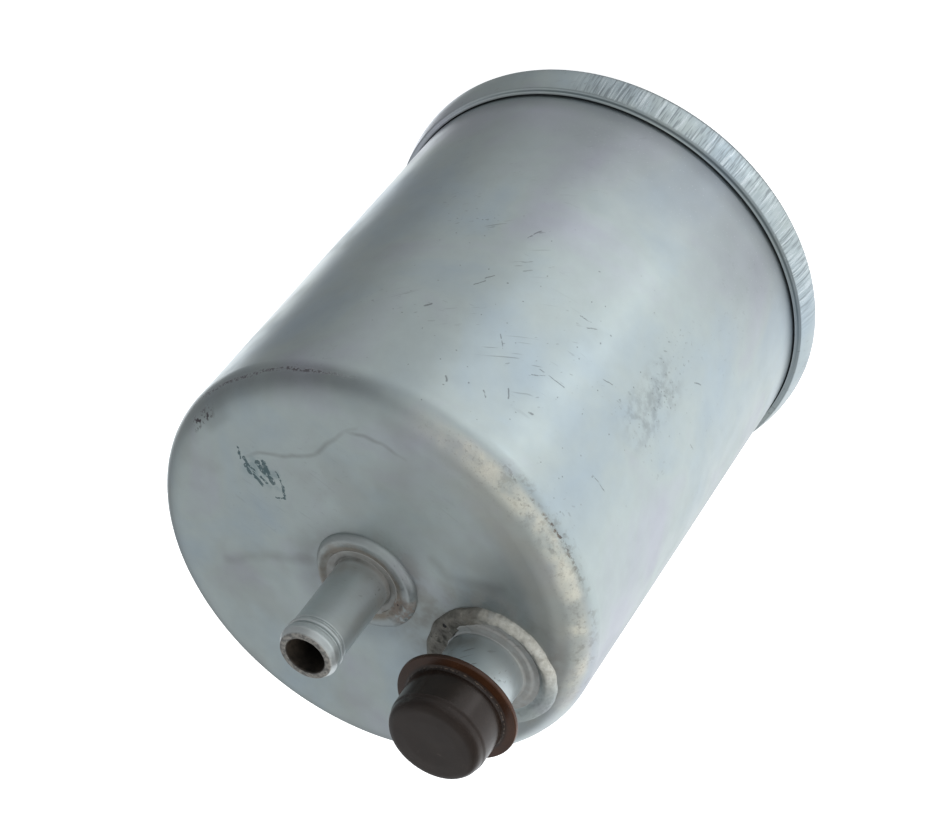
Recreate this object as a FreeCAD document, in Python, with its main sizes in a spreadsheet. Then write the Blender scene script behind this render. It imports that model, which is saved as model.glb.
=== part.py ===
"""Canister fuel filter: a drawn steel can closed by a double-seamed lid, with two welded hose spigots on its
rounded end, a pull-off cap on the larger one, and a spring-loaded pleated element inside.

Frame: millimetres, +Z along the can's axis towards the spigots. The origin is on the axis, in the plane of the
seam ring's lower face, which is the face that the filter stands on. The inlet spigot is on the -X side.
"""
import FreeCAD, Part
import math
import os
import Sketcher

SIZES = [
    # can and its closed end
    ("can_radius", 40.0, "outside of the drawn can"),
    ("can_wall", 0.8, "sheet of the can"),
    ("end_height", 95.5, "flat outer face of the closed end above the seam's lower face"),
    ("end_fillet", 6.0, "outside radius between wall and closed end"),
    # double seam and lid
    ("lid_wall", 0.6, "sheet of the lid"),
    ("seam_gap", 0.05, "gap left between the folded layers"),
    ("seam_height", 6.45, "height of the seam ring"),
    ("seam_neck", 0.1, "how far the seaming rolls squeeze the can's wall"),
    ("neck_rise", 1.0, "height of the slope from that squeezed stretch back to the wall"),
    ("lip_height", 0.95, "height of the ring's lip, which holds the fold"),
    ("lip_inset", 0.75, "how far the lip stands inside the band"),
    ("shoulder_rise", 0.6, "height of the slope from the band to the lip"),
    ("seam_foot_round", 0.9, "outside radius at the ring's lower edge"),
    ("seam_top_round", 0.4, "radius of the fold at the ring's upper edge"),
    ("hook_room", 0.6, "room above the can's hook and below the lid's hook"),
    ("compound_height", 0.45, "sealing compound on top of the can's hook"),
    ("countersink_rise", 1.15, "how far the lid's countersink rises above the ring"),
    ("countersink_width", 3.0, "width of the countersink's channel"),
    ("panel_drop", 2.8, "lid's panel below the floor of the channel"),
    ("panel_bead_margin", 3.5, "flat ring between the spring's seat and the panel's bead"),
    ("panel_bead_width", 5.0, "stiffening bead of the panel, width"),
    ("panel_bead_depth", 1.2, "stiffening bead of the panel, depth"),
    # outlet spigot, on the axis
    ("outlet_radius", 5.0, "outside of the outlet spigot, for a 10 mm hose"),
    ("outlet_wall", 1.55, "wall of the outlet spigot"),
    ("outlet_reach", 19.3, "outlet's mouth above the closed end"),
    ("outlet_flange_width", 1.6, "base flange round the outlet spigot"),
    ("bead_rise", 0.25, "hose bead above the outlet's wall"),
    ("bead_land", 1.6, "cylindrical length of the hose bead"),
    ("mouth_inset", 0.6, "how far the rounded mouth tapers in"),
    ("mouth_height", 0.9, "height of the rounded mouth"),
    ("groove_depth", 0.3, "depth of the two grooves below the bead"),
    ("groove_width", 0.5, "width of each groove"),
    ("ridge_width", 0.8, "ridge between the two grooves"),
    # inlet spigot, beside the axis
    ("inlet_radius", 7.0, "outside of the inlet spigot, for a 14 mm hose"),
    ("inlet_wall", 1.4, "wall of the inlet spigot"),
    ("inlet_reach", 18.6, "inlet's mouth above the closed end"),
    ("inlet_stub", 3.0, "inlet's inner end below the closed end"),
    ("inlet_flange_width", 2.6, "base flange round the inlet spigot"),
    ("mouth_chamfer", 0.4, "chamfer at the inlet's mouth"),
    # welds
    ("flange_height", 0.9, "height of both base flanges"),
    ("fit_gap", 0.02, "clearance of pieces pressed or welded together"),
    ("outlet_weld_width", 3.6, "weld ring round the outlet's flange"),
    ("outlet_weld_height", 1.3, "crest of the outlet's weld ring"),
    ("inlet_weld_width", 3.2, "weld ring round the inlet's flange"),
    ("inlet_weld_height", 1.5, "crest of the inlet's weld ring"),
    ("weld_spacing", 1.4, "bare sheet between the two weld rings"),
    ("weld_toe", 1.1, "run of a weld's outer slope, and width of its crest"),
    ("weld_root", 2.0, "depth to which weld metal follows the rounded end"),
    ("weld_round", 0.4, "rounding of a weld's crest"),
    # protective cap
    ("cap_clearance", 0.04, "running clearance of the cap on the inlet spigot"),
    ("cap_flange_width", 2.1, "flange round the foot of the cap"),
    ("cap_flange_height", 1.1, "thickness of the cap's flange"),
    ("cap_grip", 8.3, "depth of the cap's bore"),
    ("cap_foot_wall", 1.66, "wall of the cap where it meets the flange"),
    ("cap_top_wall", 1.06, "wall of the cap at its top"),
    ("cap_roof", 1.4, "thickness of the cap's closed end"),
    ("cap_round", 1.6, "rounding of the cap's top edge"),
    ("cap_flange_round", 0.35, "rounding of the flange's edge"),
    # filter element
    ("roof_gap", 7.1, "room between the closed end and the upper disc"),
    ("flow_gap", 4.2, "room for the fuel between the end discs and the can"),
    ("disc_wall", 0.6, "sheet of the end discs"),
    ("disc_rim", 4.0, "height of the end discs' rims"),
    ("potting_gap", 0.05, "clearance round the potting"),
    ("potting_height", 3.0, "depth of the potting"),
    ("wrap_margin", 0.5, "potting that shows outside the wrap"),
    ("wrap_wall", 0.4, "thickness of the outer wrap"),
    ("wrap_hole", 1.8, "radius of the outer wrap's holes"),
    ("wrap_columns", 16, "columns of holes round the outer wrap"),
    ("clip_wall", 0.3, "sheet of the pleat clip"),
    ("clip_depth", 6.0, "how far the clip reaches down its pleat"),
    ("clip_gap", 0.05, "clearance of the clip on its pleat and in the wrap"),
    ("media_sheet", 0.6, "thickness of the filter paper"),
    ("pleat_count", 40, "number of pleats"),
    ("fold_gap", 0.5, "half the room between a pleat's two legs at its outer fold"),
    ("media_gap", 3.0, "room between the pleats and the centre tube"),
    ("core_gap", 2.9, "room between the centre tube and the collar"),
    ("core_wall", 0.6, "sheet of the centre tube"),
    ("core_hole", 1.6, "radius of the centre tube's holes"),
    ("core_columns", 8, "columns of holes round the centre tube"),
    # outlet seal and spring
    ("seal_wall", 2.9, "wall of the seal between the outlet and the collar"),
    ("seal_overhang", 1.0, "how far the seal reaches past the collar"),
    ("stub_overhang", 1.1, "how far the outlet's stub reaches past the seal"),
    ("seal_flange_width", 2.1, "flange of the seal on top of the upper disc"),
    ("seal_flange_height", 1.2, "thickness of the seal's flange"),
    ("collar_depth", 6.0, "depth of the upper disc's collar"),
    ("spring_height", 9.0, "loaded height of the spring"),
    ("spring_radius", 13.0, "mean radius of the spring"),
    ("spring_wire", 1.0, "radius of the spring's wire"),
    ("spring_turns", 3.5, "turns of the spring"),
    ("pilot_wall", 0.6, "sheet of the spring's seat and pilot"),
    ("pilot_gap", 0.2, "clearance between the spring and its pilots"),
    ("pilot_flange", 2.5, "flange of both pilots outside the spring"),
    ("pilot_height", 3.0, "how far both pilots reach into the spring"),
]
HOLE_ROWS = 8  # rows of holes up the centre tube and the outer wrap


class Size:
    """A length that carries its number and the sheet expression that gives it."""

    def __init__(self, number, text):
        self.number = number
        self.text = text

    def joined(self, sign, other, number):
        return Size(number, f"({self.text} {sign} {other.text})")

    def __add__(self, other):
        return self.joined("+", other, self.number + other.number)

    def __sub__(self, other):
        return self.joined("-", other, self.number - other.number)

    def __mul__(self, factor):
        return Size(self.number * factor, f"({self.text} * {factor})")

    def __truediv__(self, factor):
        return self * (1 / factor)

    def __neg__(self):
        return self * -1


class Sizes:
    """The sheet's sizes by name."""

    def __init__(self, sheet, rows):
        for row, (name, number, note) in enumerate(rows, start=1):
            sheet.set(f"A{row}", name)
            sheet.set(f"B{row}", str(number))
            sheet.set(f"C{row}", note)
            sheet.setAlias(f"B{row}", name)
            setattr(self, name, Size(number, f"{sheet.Name}.{name}"))


doc = FreeCAD.newDocument("fuel_filter")
size = Sizes(doc.addObject("Spreadsheet::Sheet", "Sizes"), SIZES)
doc.recompute()

ZERO = Size(0.0, "0")
nodes = []

# Radii of the double seam's five layers, from the inside out.
neck_radius = size.can_radius - size.seam_neck
chuck_outer = neck_radius - size.can_wall - size.seam_gap
chuck_inner = chuck_outer - size.lid_wall
cover_hook_inner = neck_radius + size.seam_gap
cover_hook_outer = cover_hook_inner + size.lid_wall
body_hook_inner = cover_hook_outer + size.seam_gap
body_hook_outer = body_hook_inner + size.can_wall
band_inner = body_hook_outer + size.seam_gap
band_outer = band_inner + size.lid_wall
lip_outer = band_outer - size.lip_inset
lip_inner = lip_outer - size.lid_wall

# Heights in the seam ring, from the floor up.
can_foot = size.lid_wall + size.seam_gap
hook_floor = can_foot + size.can_wall
cover_hook_end = hook_floor + size.hook_room
slope_top = size.seam_height - size.lip_height
shoulder_height = slope_top - size.shoulder_rise
body_hook_top = shoulder_height - size.hook_room
neck_top = size.seam_height + size.neck_rise
countersink_top = size.seam_height + size.countersink_rise
channel_floor = countersink_top - size.lid_wall
panel_height = channel_floor - size.panel_drop

# Heights of what the can holds, from the lid up.
panel_top = panel_height + size.lid_wall
spring_foot = panel_top + size.pilot_wall
spring_top = spring_foot + size.spring_height
element_foot = spring_top + size.pilot_wall
pleats_foot = element_foot + size.disc_wall + size.potting_height
can_roof = size.end_height - size.can_wall
element_top = can_roof - size.roof_gap
pleats_top = element_top - size.disc_wall - size.potting_height
pleats_height = pleats_top - pleats_foot
collar_foot = element_top - size.collar_depth
seal_foot = collar_foot - size.seal_overhang
stub_foot = seal_foot - size.stub_overhang

# Heights outside the closed end.
flange_top = size.end_height + size.flange_height
outlet_mouth = size.end_height + size.outlet_reach
inlet_mouth = size.end_height + size.inlet_reach
cap_foot = inlet_mouth - size.cap_grip
cap_top = inlet_mouth + size.cap_roof

# Radii of the spigots, their welds and the cap.
outlet_bore = size.outlet_radius - size.outlet_wall
outlet_bead = size.outlet_radius + size.bead_rise
outlet_groove = size.outlet_radius - size.groove_depth
outlet_lip = size.outlet_radius - size.mouth_inset
outlet_flange = size.outlet_radius + size.outlet_flange_width
outlet_weld = outlet_flange + size.outlet_weld_width
inlet_bore = size.inlet_radius - size.inlet_wall
inlet_flange = size.inlet_radius + size.inlet_flange_width
inlet_weld = inlet_flange + size.inlet_weld_width
inlet_offset = outlet_weld + size.weld_spacing + inlet_weld
cap_bore = size.inlet_radius + size.cap_clearance
cap_base = cap_bore + size.cap_foot_wall
cap_crown = cap_bore + size.cap_top_wall
cap_flange = cap_base + size.cap_flange_width

# Radii of what the can holds, from the wall in and from the axis out.
wall_inner = size.can_radius - size.can_wall
disc_radius = wall_inner - size.flow_gap
rim_inner = disc_radius - size.disc_wall
potting_radius = rim_inner - size.potting_gap
wrap_inner = potting_radius - size.wrap_margin - size.wrap_wall
media_radius = wrap_inner - size.clip_wall - size.clip_gap * 2
collar_inner = size.outlet_radius + size.seal_wall
collar_outer = collar_inner + size.disc_wall
core_inner = collar_outer + size.core_gap
media_core = core_inner + size.core_wall + size.media_gap
pilot_outer = size.spring_radius - size.spring_wire - size.pilot_gap
pilot_inner = pilot_outer - size.pilot_wall
pilot_flange = size.spring_radius + size.spring_wire + size.pilot_flange
panel_bead_inner = pilot_flange + size.panel_bead_margin
panel_bead_outer = panel_bead_inner + size.panel_bead_width


def new_body(name, is_node=True):
    body = doc.addObject("PartDesign::Body", name)
    body.Label = name
    if is_node:
        nodes.append(body)
    return body


def new_sketch(body, name, role):
    """A sketch on one of the body's own origin planes."""
    sketch = body.newObject("Sketcher::SketchObject", f"{body.Name}_{name}")
    base = next(item for item in body.Origin.OriginFeatures if item.Role == role)
    sketch.AttachmentSupport = [(base, "")]
    sketch.MapMode = "FlatFace"
    return sketch


def pin(sketch, geometry, point, across, up):
    """Ties a point's two coordinates to the sheet."""
    for kind, place in (("DistanceX", across), ("DistanceY", up)):
        index = sketch.addConstraint(Sketcher.Constraint(kind, -1, 1, geometry, point, place.number))
        sketch.setExpression(f"Constraints[{index}]", place.text)


def draw_outline(sketch, corners):
    """A closed outline of straight edges through the corners."""
    count = len(corners)
    for index, (across, up) in enumerate(corners):
        next_across, next_up = corners[(index + 1) % count]
        start = FreeCAD.Vector(across.number, up.number, 0)
        end = FreeCAD.Vector(next_across.number, next_up.number, 0)
        sketch.addGeometry(Part.LineSegment(start, end), False)
    for index in range(count):
        sketch.addConstraint(Sketcher.Constraint("Coincident", index, 2, (index + 1) % count, 1))
    for index, (across, up) in enumerate(corners):
        pin(sketch, index, 1, across, up)


def draw_circle(sketch, across, up, radius):
    centre = FreeCAD.Vector(across.number, up.number, 0)
    circle = Part.Circle(centre, FreeCAD.Vector(0, 0, 1), radius.number)
    geometry = sketch.addGeometry(circle, False)
    pin(sketch, geometry, 3, across, up)
    index = sketch.addConstraint(Sketcher.Constraint("Radius", geometry, radius.number))
    sketch.setExpression(f"Constraints[{index}]", radius.text)


def turn(body, corners):
    """Turns an outline of (radius, height) corners round the body's Z axis."""
    sketch = new_sketch(body, "outline", "XZ_Plane")
    draw_outline(sketch, corners)
    turned = body.newObject("PartDesign::Revolution", f"{body.Name}_turned")
    turned.Profile = sketch
    turned.ReferenceAxis = (sketch, ["V_Axis"])
    turned.Angle = 360
    doc.recompute()
    return turned


def turned_node(name, corners):
    body = new_body(name)
    turn(body, corners)
    return body


def round_circles(body, radius, circles):
    """Rounds the body's circular edges that have the given radii and heights."""
    base = body.Tip
    chosen = []
    for number, edge in enumerate(base.Shape.Edges, start=1):
        if not isinstance(edge.Curve, Part.Circle):
            continue
        for across, up in circles:
            off_radius = abs(edge.Curve.Radius - across.number)
            off_height = abs(edge.Curve.Center.z - up.number)
            if off_radius < 1e-4 and off_height < 1e-4:
                chosen.append(f"Edge{number}")
    if len(chosen) != len(circles):
        raise ValueError(f"{body.Name}: {len(chosen)} edges found for {len(circles)} circles")
    fillet = body.newObject("PartDesign::Fillet", f"{body.Name}_round")
    fillet.Base = (base, chosen)
    fillet.setExpression("Radius", radius.text)
    doc.recompute()


def cut_through(body, sketch, upwards):
    """Cuts the sketch's outline through all that lies on one side of its plane."""
    before = body.Shape.Volume
    pocket = body.newObject("PartDesign::Pocket", f"{sketch.Name}_cut")
    pocket.Profile = sketch
    pocket.Type = "ThroughAll"
    pocket.Reversed = upwards
    doc.recompute()
    if body.Shape.Volume >= before:
        raise ValueError(f"{pocket.Name} cuts nothing")
    return pocket


def perforate(body, hole_radius, columns):
    """Cuts rows of round holes between the pleats' two ends, repeated in columns round the axis."""
    sketch = new_sketch(body, "holes", "XZ_Plane")
    pitch = pleats_height / HOLE_ROWS
    for row in range(HOLE_ROWS):
        draw_circle(sketch, ZERO, pleats_foot + pitch * (row + 0.5), hole_radius)
    pocket = cut_through(body, sketch, upwards=False)
    pattern = body.newObject("PartDesign::PolarPattern", f"{body.Name}_columns")
    pattern.Originals = [pocket]
    pattern.Axis = (sketch, ["V_Axis"])
    pattern.Angle = 360
    pattern.setExpression("Occurrences", columns.text)
    body.Tip = pattern
    doc.recompute()


def make_can_shell():
    """Drawn can: closed end, rounded shoulder, wall, squeezed neck and outward hook."""
    hole = size.outlet_radius + size.fit_gap
    body = new_body("can_shell")
    turn(body, [
        (hole, can_roof),
        (wall_inner, can_roof),
        (wall_inner, neck_top),
        (neck_radius - size.can_wall, size.seam_height),
        (neck_radius - size.can_wall, can_foot),
        (body_hook_outer, can_foot),
        (body_hook_outer, body_hook_top),
        (body_hook_inner, body_hook_top),
        (body_hook_inner, hook_floor),
        (neck_radius, hook_floor),
        (neck_radius, size.seam_height),
        (size.can_radius, neck_top),
        (size.can_radius, size.end_height),
        (hole, size.end_height),
    ])
    round_circles(body, size.end_fillet, [(size.can_radius, size.end_height)])
    round_circles(body, size.end_fillet - size.can_wall, [(wall_inner, can_roof)])
    hole_sketch = new_sketch(body, "inlet_hole", "XY_Plane")
    draw_circle(hole_sketch, -inlet_offset, ZERO, size.inlet_radius + size.fit_gap)
    cut_through(body, hole_sketch, upwards=True)


def make_base_lid():
    """Lid: beaded panel, countersink, chuck wall, and the cover that folds over the can's hook."""
    channel = chuck_inner - size.countersink_width
    bead_floor = panel_height - size.panel_bead_depth
    body = turned_node("base_lid", [
        (ZERO, panel_height),
        (panel_bead_inner, panel_height),
        (panel_bead_inner, bead_floor),
        (panel_bead_outer, bead_floor),
        (panel_bead_outer, panel_height),
        (channel, panel_height),
        (channel, channel_floor),
        (chuck_inner, channel_floor),
        (chuck_inner, ZERO),
        (band_outer, ZERO),
        (band_outer, shoulder_height),
        (lip_outer, slope_top),
        (lip_outer, size.seam_height),
        (cover_hook_inner, size.seam_height),
        (cover_hook_inner, cover_hook_end),
        (cover_hook_outer, cover_hook_end),
        (cover_hook_outer, size.seam_height - size.lid_wall),
        (lip_inner, size.seam_height - size.lid_wall),
        (lip_inner, slope_top),
        (band_inner, shoulder_height),
        (band_inner, size.lid_wall),
        (chuck_outer, size.lid_wall),
        (chuck_outer, countersink_top),
        (channel - size.lid_wall, countersink_top),
        (channel - size.lid_wall, panel_top),
        (panel_bead_outer - size.lid_wall, panel_top),
        (panel_bead_outer - size.lid_wall, bead_floor + size.lid_wall),
        (panel_bead_inner + size.lid_wall, bead_floor + size.lid_wall),
        (panel_bead_inner + size.lid_wall, panel_top),
        (ZERO, panel_top),
    ])
    round_circles(body, size.seam_foot_round, [(band_outer, ZERO)])
    round_circles(body, size.lid_wall, [
        (chuck_inner, ZERO),
        (chuck_outer, countersink_top),
        (channel - size.lid_wall, countersink_top),
        (channel, panel_height),
    ])
    round_circles(body, size.seam_top_round, [
        (lip_outer, size.seam_height),
        (cover_hook_inner, size.seam_height),
        (band_outer, shoulder_height),
    ])


def make_seam_compound():
    foot = body_hook_top + size.seam_gap
    outer = band_inner - size.seam_gap
    turned_node("seam_compound", [
        (body_hook_inner, foot),
        (outer, foot),
        (outer, foot + size.compound_height),
        (body_hook_inner, foot + size.compound_height),
    ])


def make_outlet_spigot():
    """Outlet spigot: inner stub, base flange on the can, two grooves, hose bead and rounded mouth."""
    bead_top = outlet_mouth - size.mouth_height
    bead_foot = bead_top - size.bead_land
    ridge_top = bead_foot - size.groove_width
    ridge_foot = ridge_top - size.ridge_width
    groove_foot = ridge_foot - size.groove_width
    body = turned_node("outlet_spigot", [
        (outlet_bore, stub_foot),
        (size.outlet_radius, stub_foot),
        (size.outlet_radius, size.end_height),
        (outlet_flange, size.end_height),
        (outlet_flange, flange_top),
        (size.outlet_radius, flange_top),
        (size.outlet_radius, groove_foot),
        (outlet_groove, groove_foot),
        (outlet_groove, ridge_foot),
        (outlet_bead, ridge_foot),
        (outlet_bead, ridge_top),
        (outlet_groove, ridge_top),
        (outlet_groove, bead_foot),
        (outlet_bead, bead_foot),
        (outlet_bead, bead_top),
        (outlet_lip, outlet_mouth),
        (outlet_bore, outlet_mouth),
    ])
    round_circles(body, size.groove_width / 2, [
        (outlet_bead, ridge_foot),
        (outlet_bead, ridge_top),
        (outlet_bead, bead_foot),
        (outlet_bead, bead_top),
        (outlet_lip, outlet_mouth),
    ])


def make_inlet_spigot():
    """Inlet spigot: short inner stub, base flange on the can and a chamfered mouth."""
    stub_end = size.end_height - size.inlet_stub
    body = turned_node("inlet_spigot", [
        (inlet_bore, stub_end),
        (size.inlet_radius, stub_end),
        (size.inlet_radius, size.end_height),
        (inlet_flange, size.end_height),
        (inlet_flange, flange_top),
        (size.inlet_radius, flange_top),
        (size.inlet_radius, inlet_mouth - size.mouth_chamfer),
        (size.inlet_radius - size.mouth_chamfer, inlet_mouth),
        (inlet_bore, inlet_mouth),
    ])
    body.setExpression("Placement.Base.x", (-inlet_offset).text)


def weld_outline(flange_radius, weld_radius, weld_height, foot):
    """Section of a weld ring that leans on a base flange."""
    crest = size.end_height + weld_height
    inner = flange_radius + size.fit_gap
    corners = [(inner, foot), (weld_radius, foot)]
    if foot is not size.end_height:
        corners.append((weld_radius, size.end_height))
    return corners + [
        (weld_radius - size.weld_toe, crest),
        (weld_radius - size.weld_toe * 2, crest),
        (inner, flange_top),
    ]


def round_crest(body, weld_radius, weld_height):
    crest = size.end_height + weld_height
    round_circles(body, size.weld_round, [
        (weld_radius - size.weld_toe, crest),
        (weld_radius - size.weld_toe * 2, crest),
    ])


def make_outlet_weld():
    corners = weld_outline(
        outlet_flange, outlet_weld, size.outlet_weld_height, size.end_height
    )
    body = turned_node("outlet_weld", corners)
    round_crest(body, outlet_weld, size.outlet_weld_height)


def make_inlet_weld():
    """Weld ring that reaches over the rounded shoulder, so the can's outside is cut from it."""
    foot = size.end_height - size.weld_root
    ring = new_body("inlet_weld_ring", is_node=False)
    turn(ring, weld_outline(inlet_flange, inlet_weld, size.inlet_weld_height, foot))
    round_crest(ring, inlet_weld, size.inlet_weld_height)
    ring.setExpression("Placement.Base.x", (-inlet_offset).text)
    envelope = new_body("can_envelope", is_node=False)
    turn(envelope, [
        (ZERO, ZERO),
        (size.can_radius, ZERO),
        (size.can_radius, size.end_height),
        (ZERO, size.end_height),
    ])
    round_circles(envelope, size.end_fillet, [(size.can_radius, size.end_height)])
    weld = doc.addObject("Part::Cut", "inlet_weld")
    weld.Label = "inlet_weld"
    weld.Base = ring
    weld.Tool = envelope
    nodes.append(weld)


def make_inlet_cap():
    """Pull-off cap: blind bore on the inlet spigot, tapered body and thin flange."""
    flange_face = cap_foot + size.cap_flange_height
    body = turned_node("inlet_cap", [
        (cap_bore, cap_foot),
        (cap_flange, cap_foot),
        (cap_flange, flange_face),
        (cap_base, flange_face),
        (cap_crown, cap_top),
        (ZERO, cap_top),
        (ZERO, inlet_mouth),
        (cap_bore, inlet_mouth),
    ])
    round_circles(body, size.cap_round, [(cap_crown, cap_top)])
    round_circles(body, size.cap_flange_round, [
        (cap_flange, cap_foot),
        (cap_flange, flange_face),
        (cap_base, flange_face),
    ])
    body.setExpression("Placement.Base.x", (-inlet_offset).text)


def make_end_discs():
    """Upper disc with the seal's collar, and closed lower disc, each with a rim that holds the potting."""
    upper_sheet = element_top - size.disc_wall
    lower_sheet = element_foot + size.disc_wall
    turned_node("upper_end_disc", [
        (collar_inner, element_top),
        (disc_radius, element_top),
        (disc_radius, element_top - size.disc_rim),
        (rim_inner, element_top - size.disc_rim),
        (rim_inner, upper_sheet),
        (collar_outer, upper_sheet),
        (collar_outer, collar_foot),
        (collar_inner, collar_foot),
    ])
    turned_node("lower_end_disc", [
        (ZERO, element_foot),
        (disc_radius, element_foot),
        (disc_radius, element_foot + size.disc_rim),
        (rim_inner, element_foot + size.disc_rim),
        (rim_inner, lower_sheet),
        (ZERO, lower_sheet),
    ])


def make_potting():
    """Adhesive that fills both end discs round the pleats' ends."""
    collar_side = collar_outer + size.potting_gap
    turned_node("upper_potting", [
        (collar_side, pleats_top),
        (potting_radius, pleats_top),
        (potting_radius, element_top - size.disc_wall),
        (collar_side, element_top - size.disc_wall),
    ])
    turned_node("lower_potting", [
        (ZERO, element_foot + size.disc_wall),
        (potting_radius, element_foot + size.disc_wall),
        (potting_radius, pleats_foot),
        (ZERO, pleats_foot),
    ])


def make_tube(name, inner, wall, hole_radius, columns):
    body = turned_node(name, [
        (inner, pleats_foot),
        (inner + wall, pleats_foot),
        (inner + wall, pleats_top),
        (inner, pleats_top),
    ])
    perforate(body, hole_radius, columns)


def make_seal():
    bore = size.outlet_radius + size.fit_gap
    outer = collar_inner - size.fit_gap
    flange = collar_inner + size.seal_flange_width
    turned_node("outlet_seal", [
        (bore, seal_foot),
        (outer, seal_foot),
        (outer, element_top),
        (flange, element_top),
        (flange, element_top + size.seal_flange_height),
        (bore, element_top + size.seal_flange_height),
    ])


def fold_points(outer_radius, outer_half, inner_radius, inner_half, count):
    """One side of the folded sheet: two points at each outer fold, then two at each inner fold."""
    step = 2 * math.pi / count
    points = []
    for pleat in range(count):
        middle = pleat * step
        valley = middle + step / 2
        for radius, centre, half in (
            (outer_radius, middle, outer_half),
            (inner_radius, valley, inner_half),
        ):
            swing = half / radius
            for angle in (centre - swing, centre + swing):
                points.append(FreeCAD.Vector(radius * math.cos(angle), radius * math.sin(angle), 0))
    return points


def make_media():
    """Pleated paper: one endless folded sheet, too many edges for a sketch, so its outline is made directly."""
    sheet = size.media_sheet.number
    outer = media_radius.number
    inner = media_core.number
    count = size.pleat_count.number
    inner_pitch = 2 * math.pi * inner / count
    outside_half = size.fold_gap.number + sheet
    valley_half = (inner_pitch - 2 * sheet) / 4
    outside = fold_points(outer, outside_half, inner + sheet, valley_half, count)
    inside = fold_points(outer - sheet, size.fold_gap.number, inner, valley_half + sheet, count)
    foot = FreeCAD.Vector(0, 0, pleats_foot.number)
    faces = []
    for points in (outside, inside):
        wire = Part.makePolygon(points + points[:1])
        wire.translate(foot)
        faces.append(Part.Face(wire))
    ring = faces[0].cut(faces[1])
    media = doc.addObject("Part::Feature", "pleated_media")
    media.Label = "pleated_media"
    media.Shape = ring.extrude(FreeCAD.Vector(0, 0, pleats_height.number)).Solids[0]
    nodes.append(media)


def make_pleat_clip():
    """U-shaped strip over the pleat on the +X side, along the whole pleat."""
    inner_half = size.media_sheet + size.fold_gap + size.clip_gap
    outer_half = inner_half + size.clip_wall
    open_end = media_radius - size.clip_depth
    closed_inner = media_radius + size.clip_gap
    closed_outer = closed_inner + size.clip_wall
    body = new_body("pleat_clip")
    sketch = new_sketch(body, "section", "XY_Plane")
    draw_outline(sketch, [
        (open_end, inner_half),
        (closed_inner, inner_half),
        (closed_inner, -inner_half),
        (open_end, -inner_half),
        (open_end, -outer_half),
        (closed_outer, -outer_half),
        (closed_outer, outer_half),
        (open_end, outer_half),
    ])
    strip = body.newObject("PartDesign::Pad", "pleat_clip_strip")
    strip.Profile = sketch
    strip.setExpression("Length", pleats_height.text)
    body.setExpression("Placement.Base.z", pleats_foot.text)
    doc.recompute()


def make_spring_pilot():
    """Stamped cup under the lower disc that reaches down into the spring."""
    flange_foot = spring_top
    cup_foot = spring_top - size.pilot_height
    turned_node("spring_pilot", [
        (ZERO, cup_foot),
        (pilot_outer, cup_foot),
        (pilot_outer, flange_foot),
        (pilot_flange, flange_foot),
        (pilot_flange, element_foot),
        (pilot_inner, element_foot),
        (pilot_inner, cup_foot + size.pilot_wall),
        (ZERO, cup_foot + size.pilot_wall),
    ])


def make_spring_seat():
    """Stamped ring on the lid that reaches up into the spring."""
    turned_node("spring_seat", [
        (pilot_inner, panel_top),
        (pilot_flange, panel_top),
        (pilot_flange, spring_foot),
        (pilot_outer, spring_foot),
        (pilot_outer, spring_foot + size.pilot_height),
        (pilot_inner, spring_foot + size.pilot_height),
    ])


def make_spring():
    """Round wire swept along a helix between the seat and the pilot."""
    rise = size.spring_height - size.spring_wire * 2
    helix = doc.addObject("Part::Helix", "spring_path")
    helix.setExpression("Radius", size.spring_radius.text)
    helix.setExpression("Height", rise.text)
    helix.setExpression("Pitch", f"{rise.text} / {size.spring_turns.text}")
    wire = doc.addObject("Part::Circle", "spring_wire_section")
    wire.setExpression("Radius", size.spring_wire.text)
    wire.Placement.Rotation = FreeCAD.Rotation(FreeCAD.Vector(1, 0, 0), 90)
    wire.setExpression("Placement.Base.x", size.spring_radius.text)
    spring = doc.addObject("Part::Sweep", "support_spring")
    spring.Label = "support_spring"
    spring.Sections = [wire]
    spring.Spine = helix
    spring.Solid = True
    spring.Frenet = True
    spring.setExpression("Placement.Base.z", (spring_foot + size.spring_wire).text)
    nodes.append(spring)


def check_and_export():
    """Refuses any failed object or bad shape, then writes one STEP file for each node."""
    doc.recompute()
    for item in doc.Objects:
        if {"Invalid", "Error"} & set(item.State):
            raise ValueError(f"{item.Name} failed: {item.State}")
    for node in nodes:
        shape = node.Shape
        if shape.isNull() or not shape.isValid() or len(shape.Solids) != 1:
            raise ValueError(f"{node.Label} is not one valid solid")
    os.makedirs("parts", exist_ok=True)
    for node in nodes:
        node.Shape.exportStep(f"parts/{node.Label}.step")
        print(f"{node.Label}: {node.Shape.Volume:.1f} mm3")


make_can_shell()
make_base_lid()
make_seam_compound()
make_outlet_spigot()
make_outlet_weld()
make_inlet_spigot()
make_inlet_weld()
make_inlet_cap()
make_seal()
make_end_discs()
make_potting()
make_media()
make_pleat_clip()
make_tube("centre_tube", core_inner, size.core_wall, size.core_hole, size.core_columns)
make_tube("outer_wrap", wrap_inner, size.wrap_wall, size.wrap_hole, size.wrap_columns)
make_spring_pilot()
make_spring()
make_spring_seat()
check_and_export()
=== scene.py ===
"""Looks of a canister fuel filter: plated steel can with a rolled seam ring, welded spigots and a plastic cap.

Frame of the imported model: +Z along the can towards its spigots, floor at z = 0, inlet spigot on the -X side.
Outlines and surface patterns are worked out in millimetres and scaled to metres when a mesh is made.
"""

import bmesh
import bpy
import math
import random
from mathutils import Matrix, Vector, noise


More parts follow.
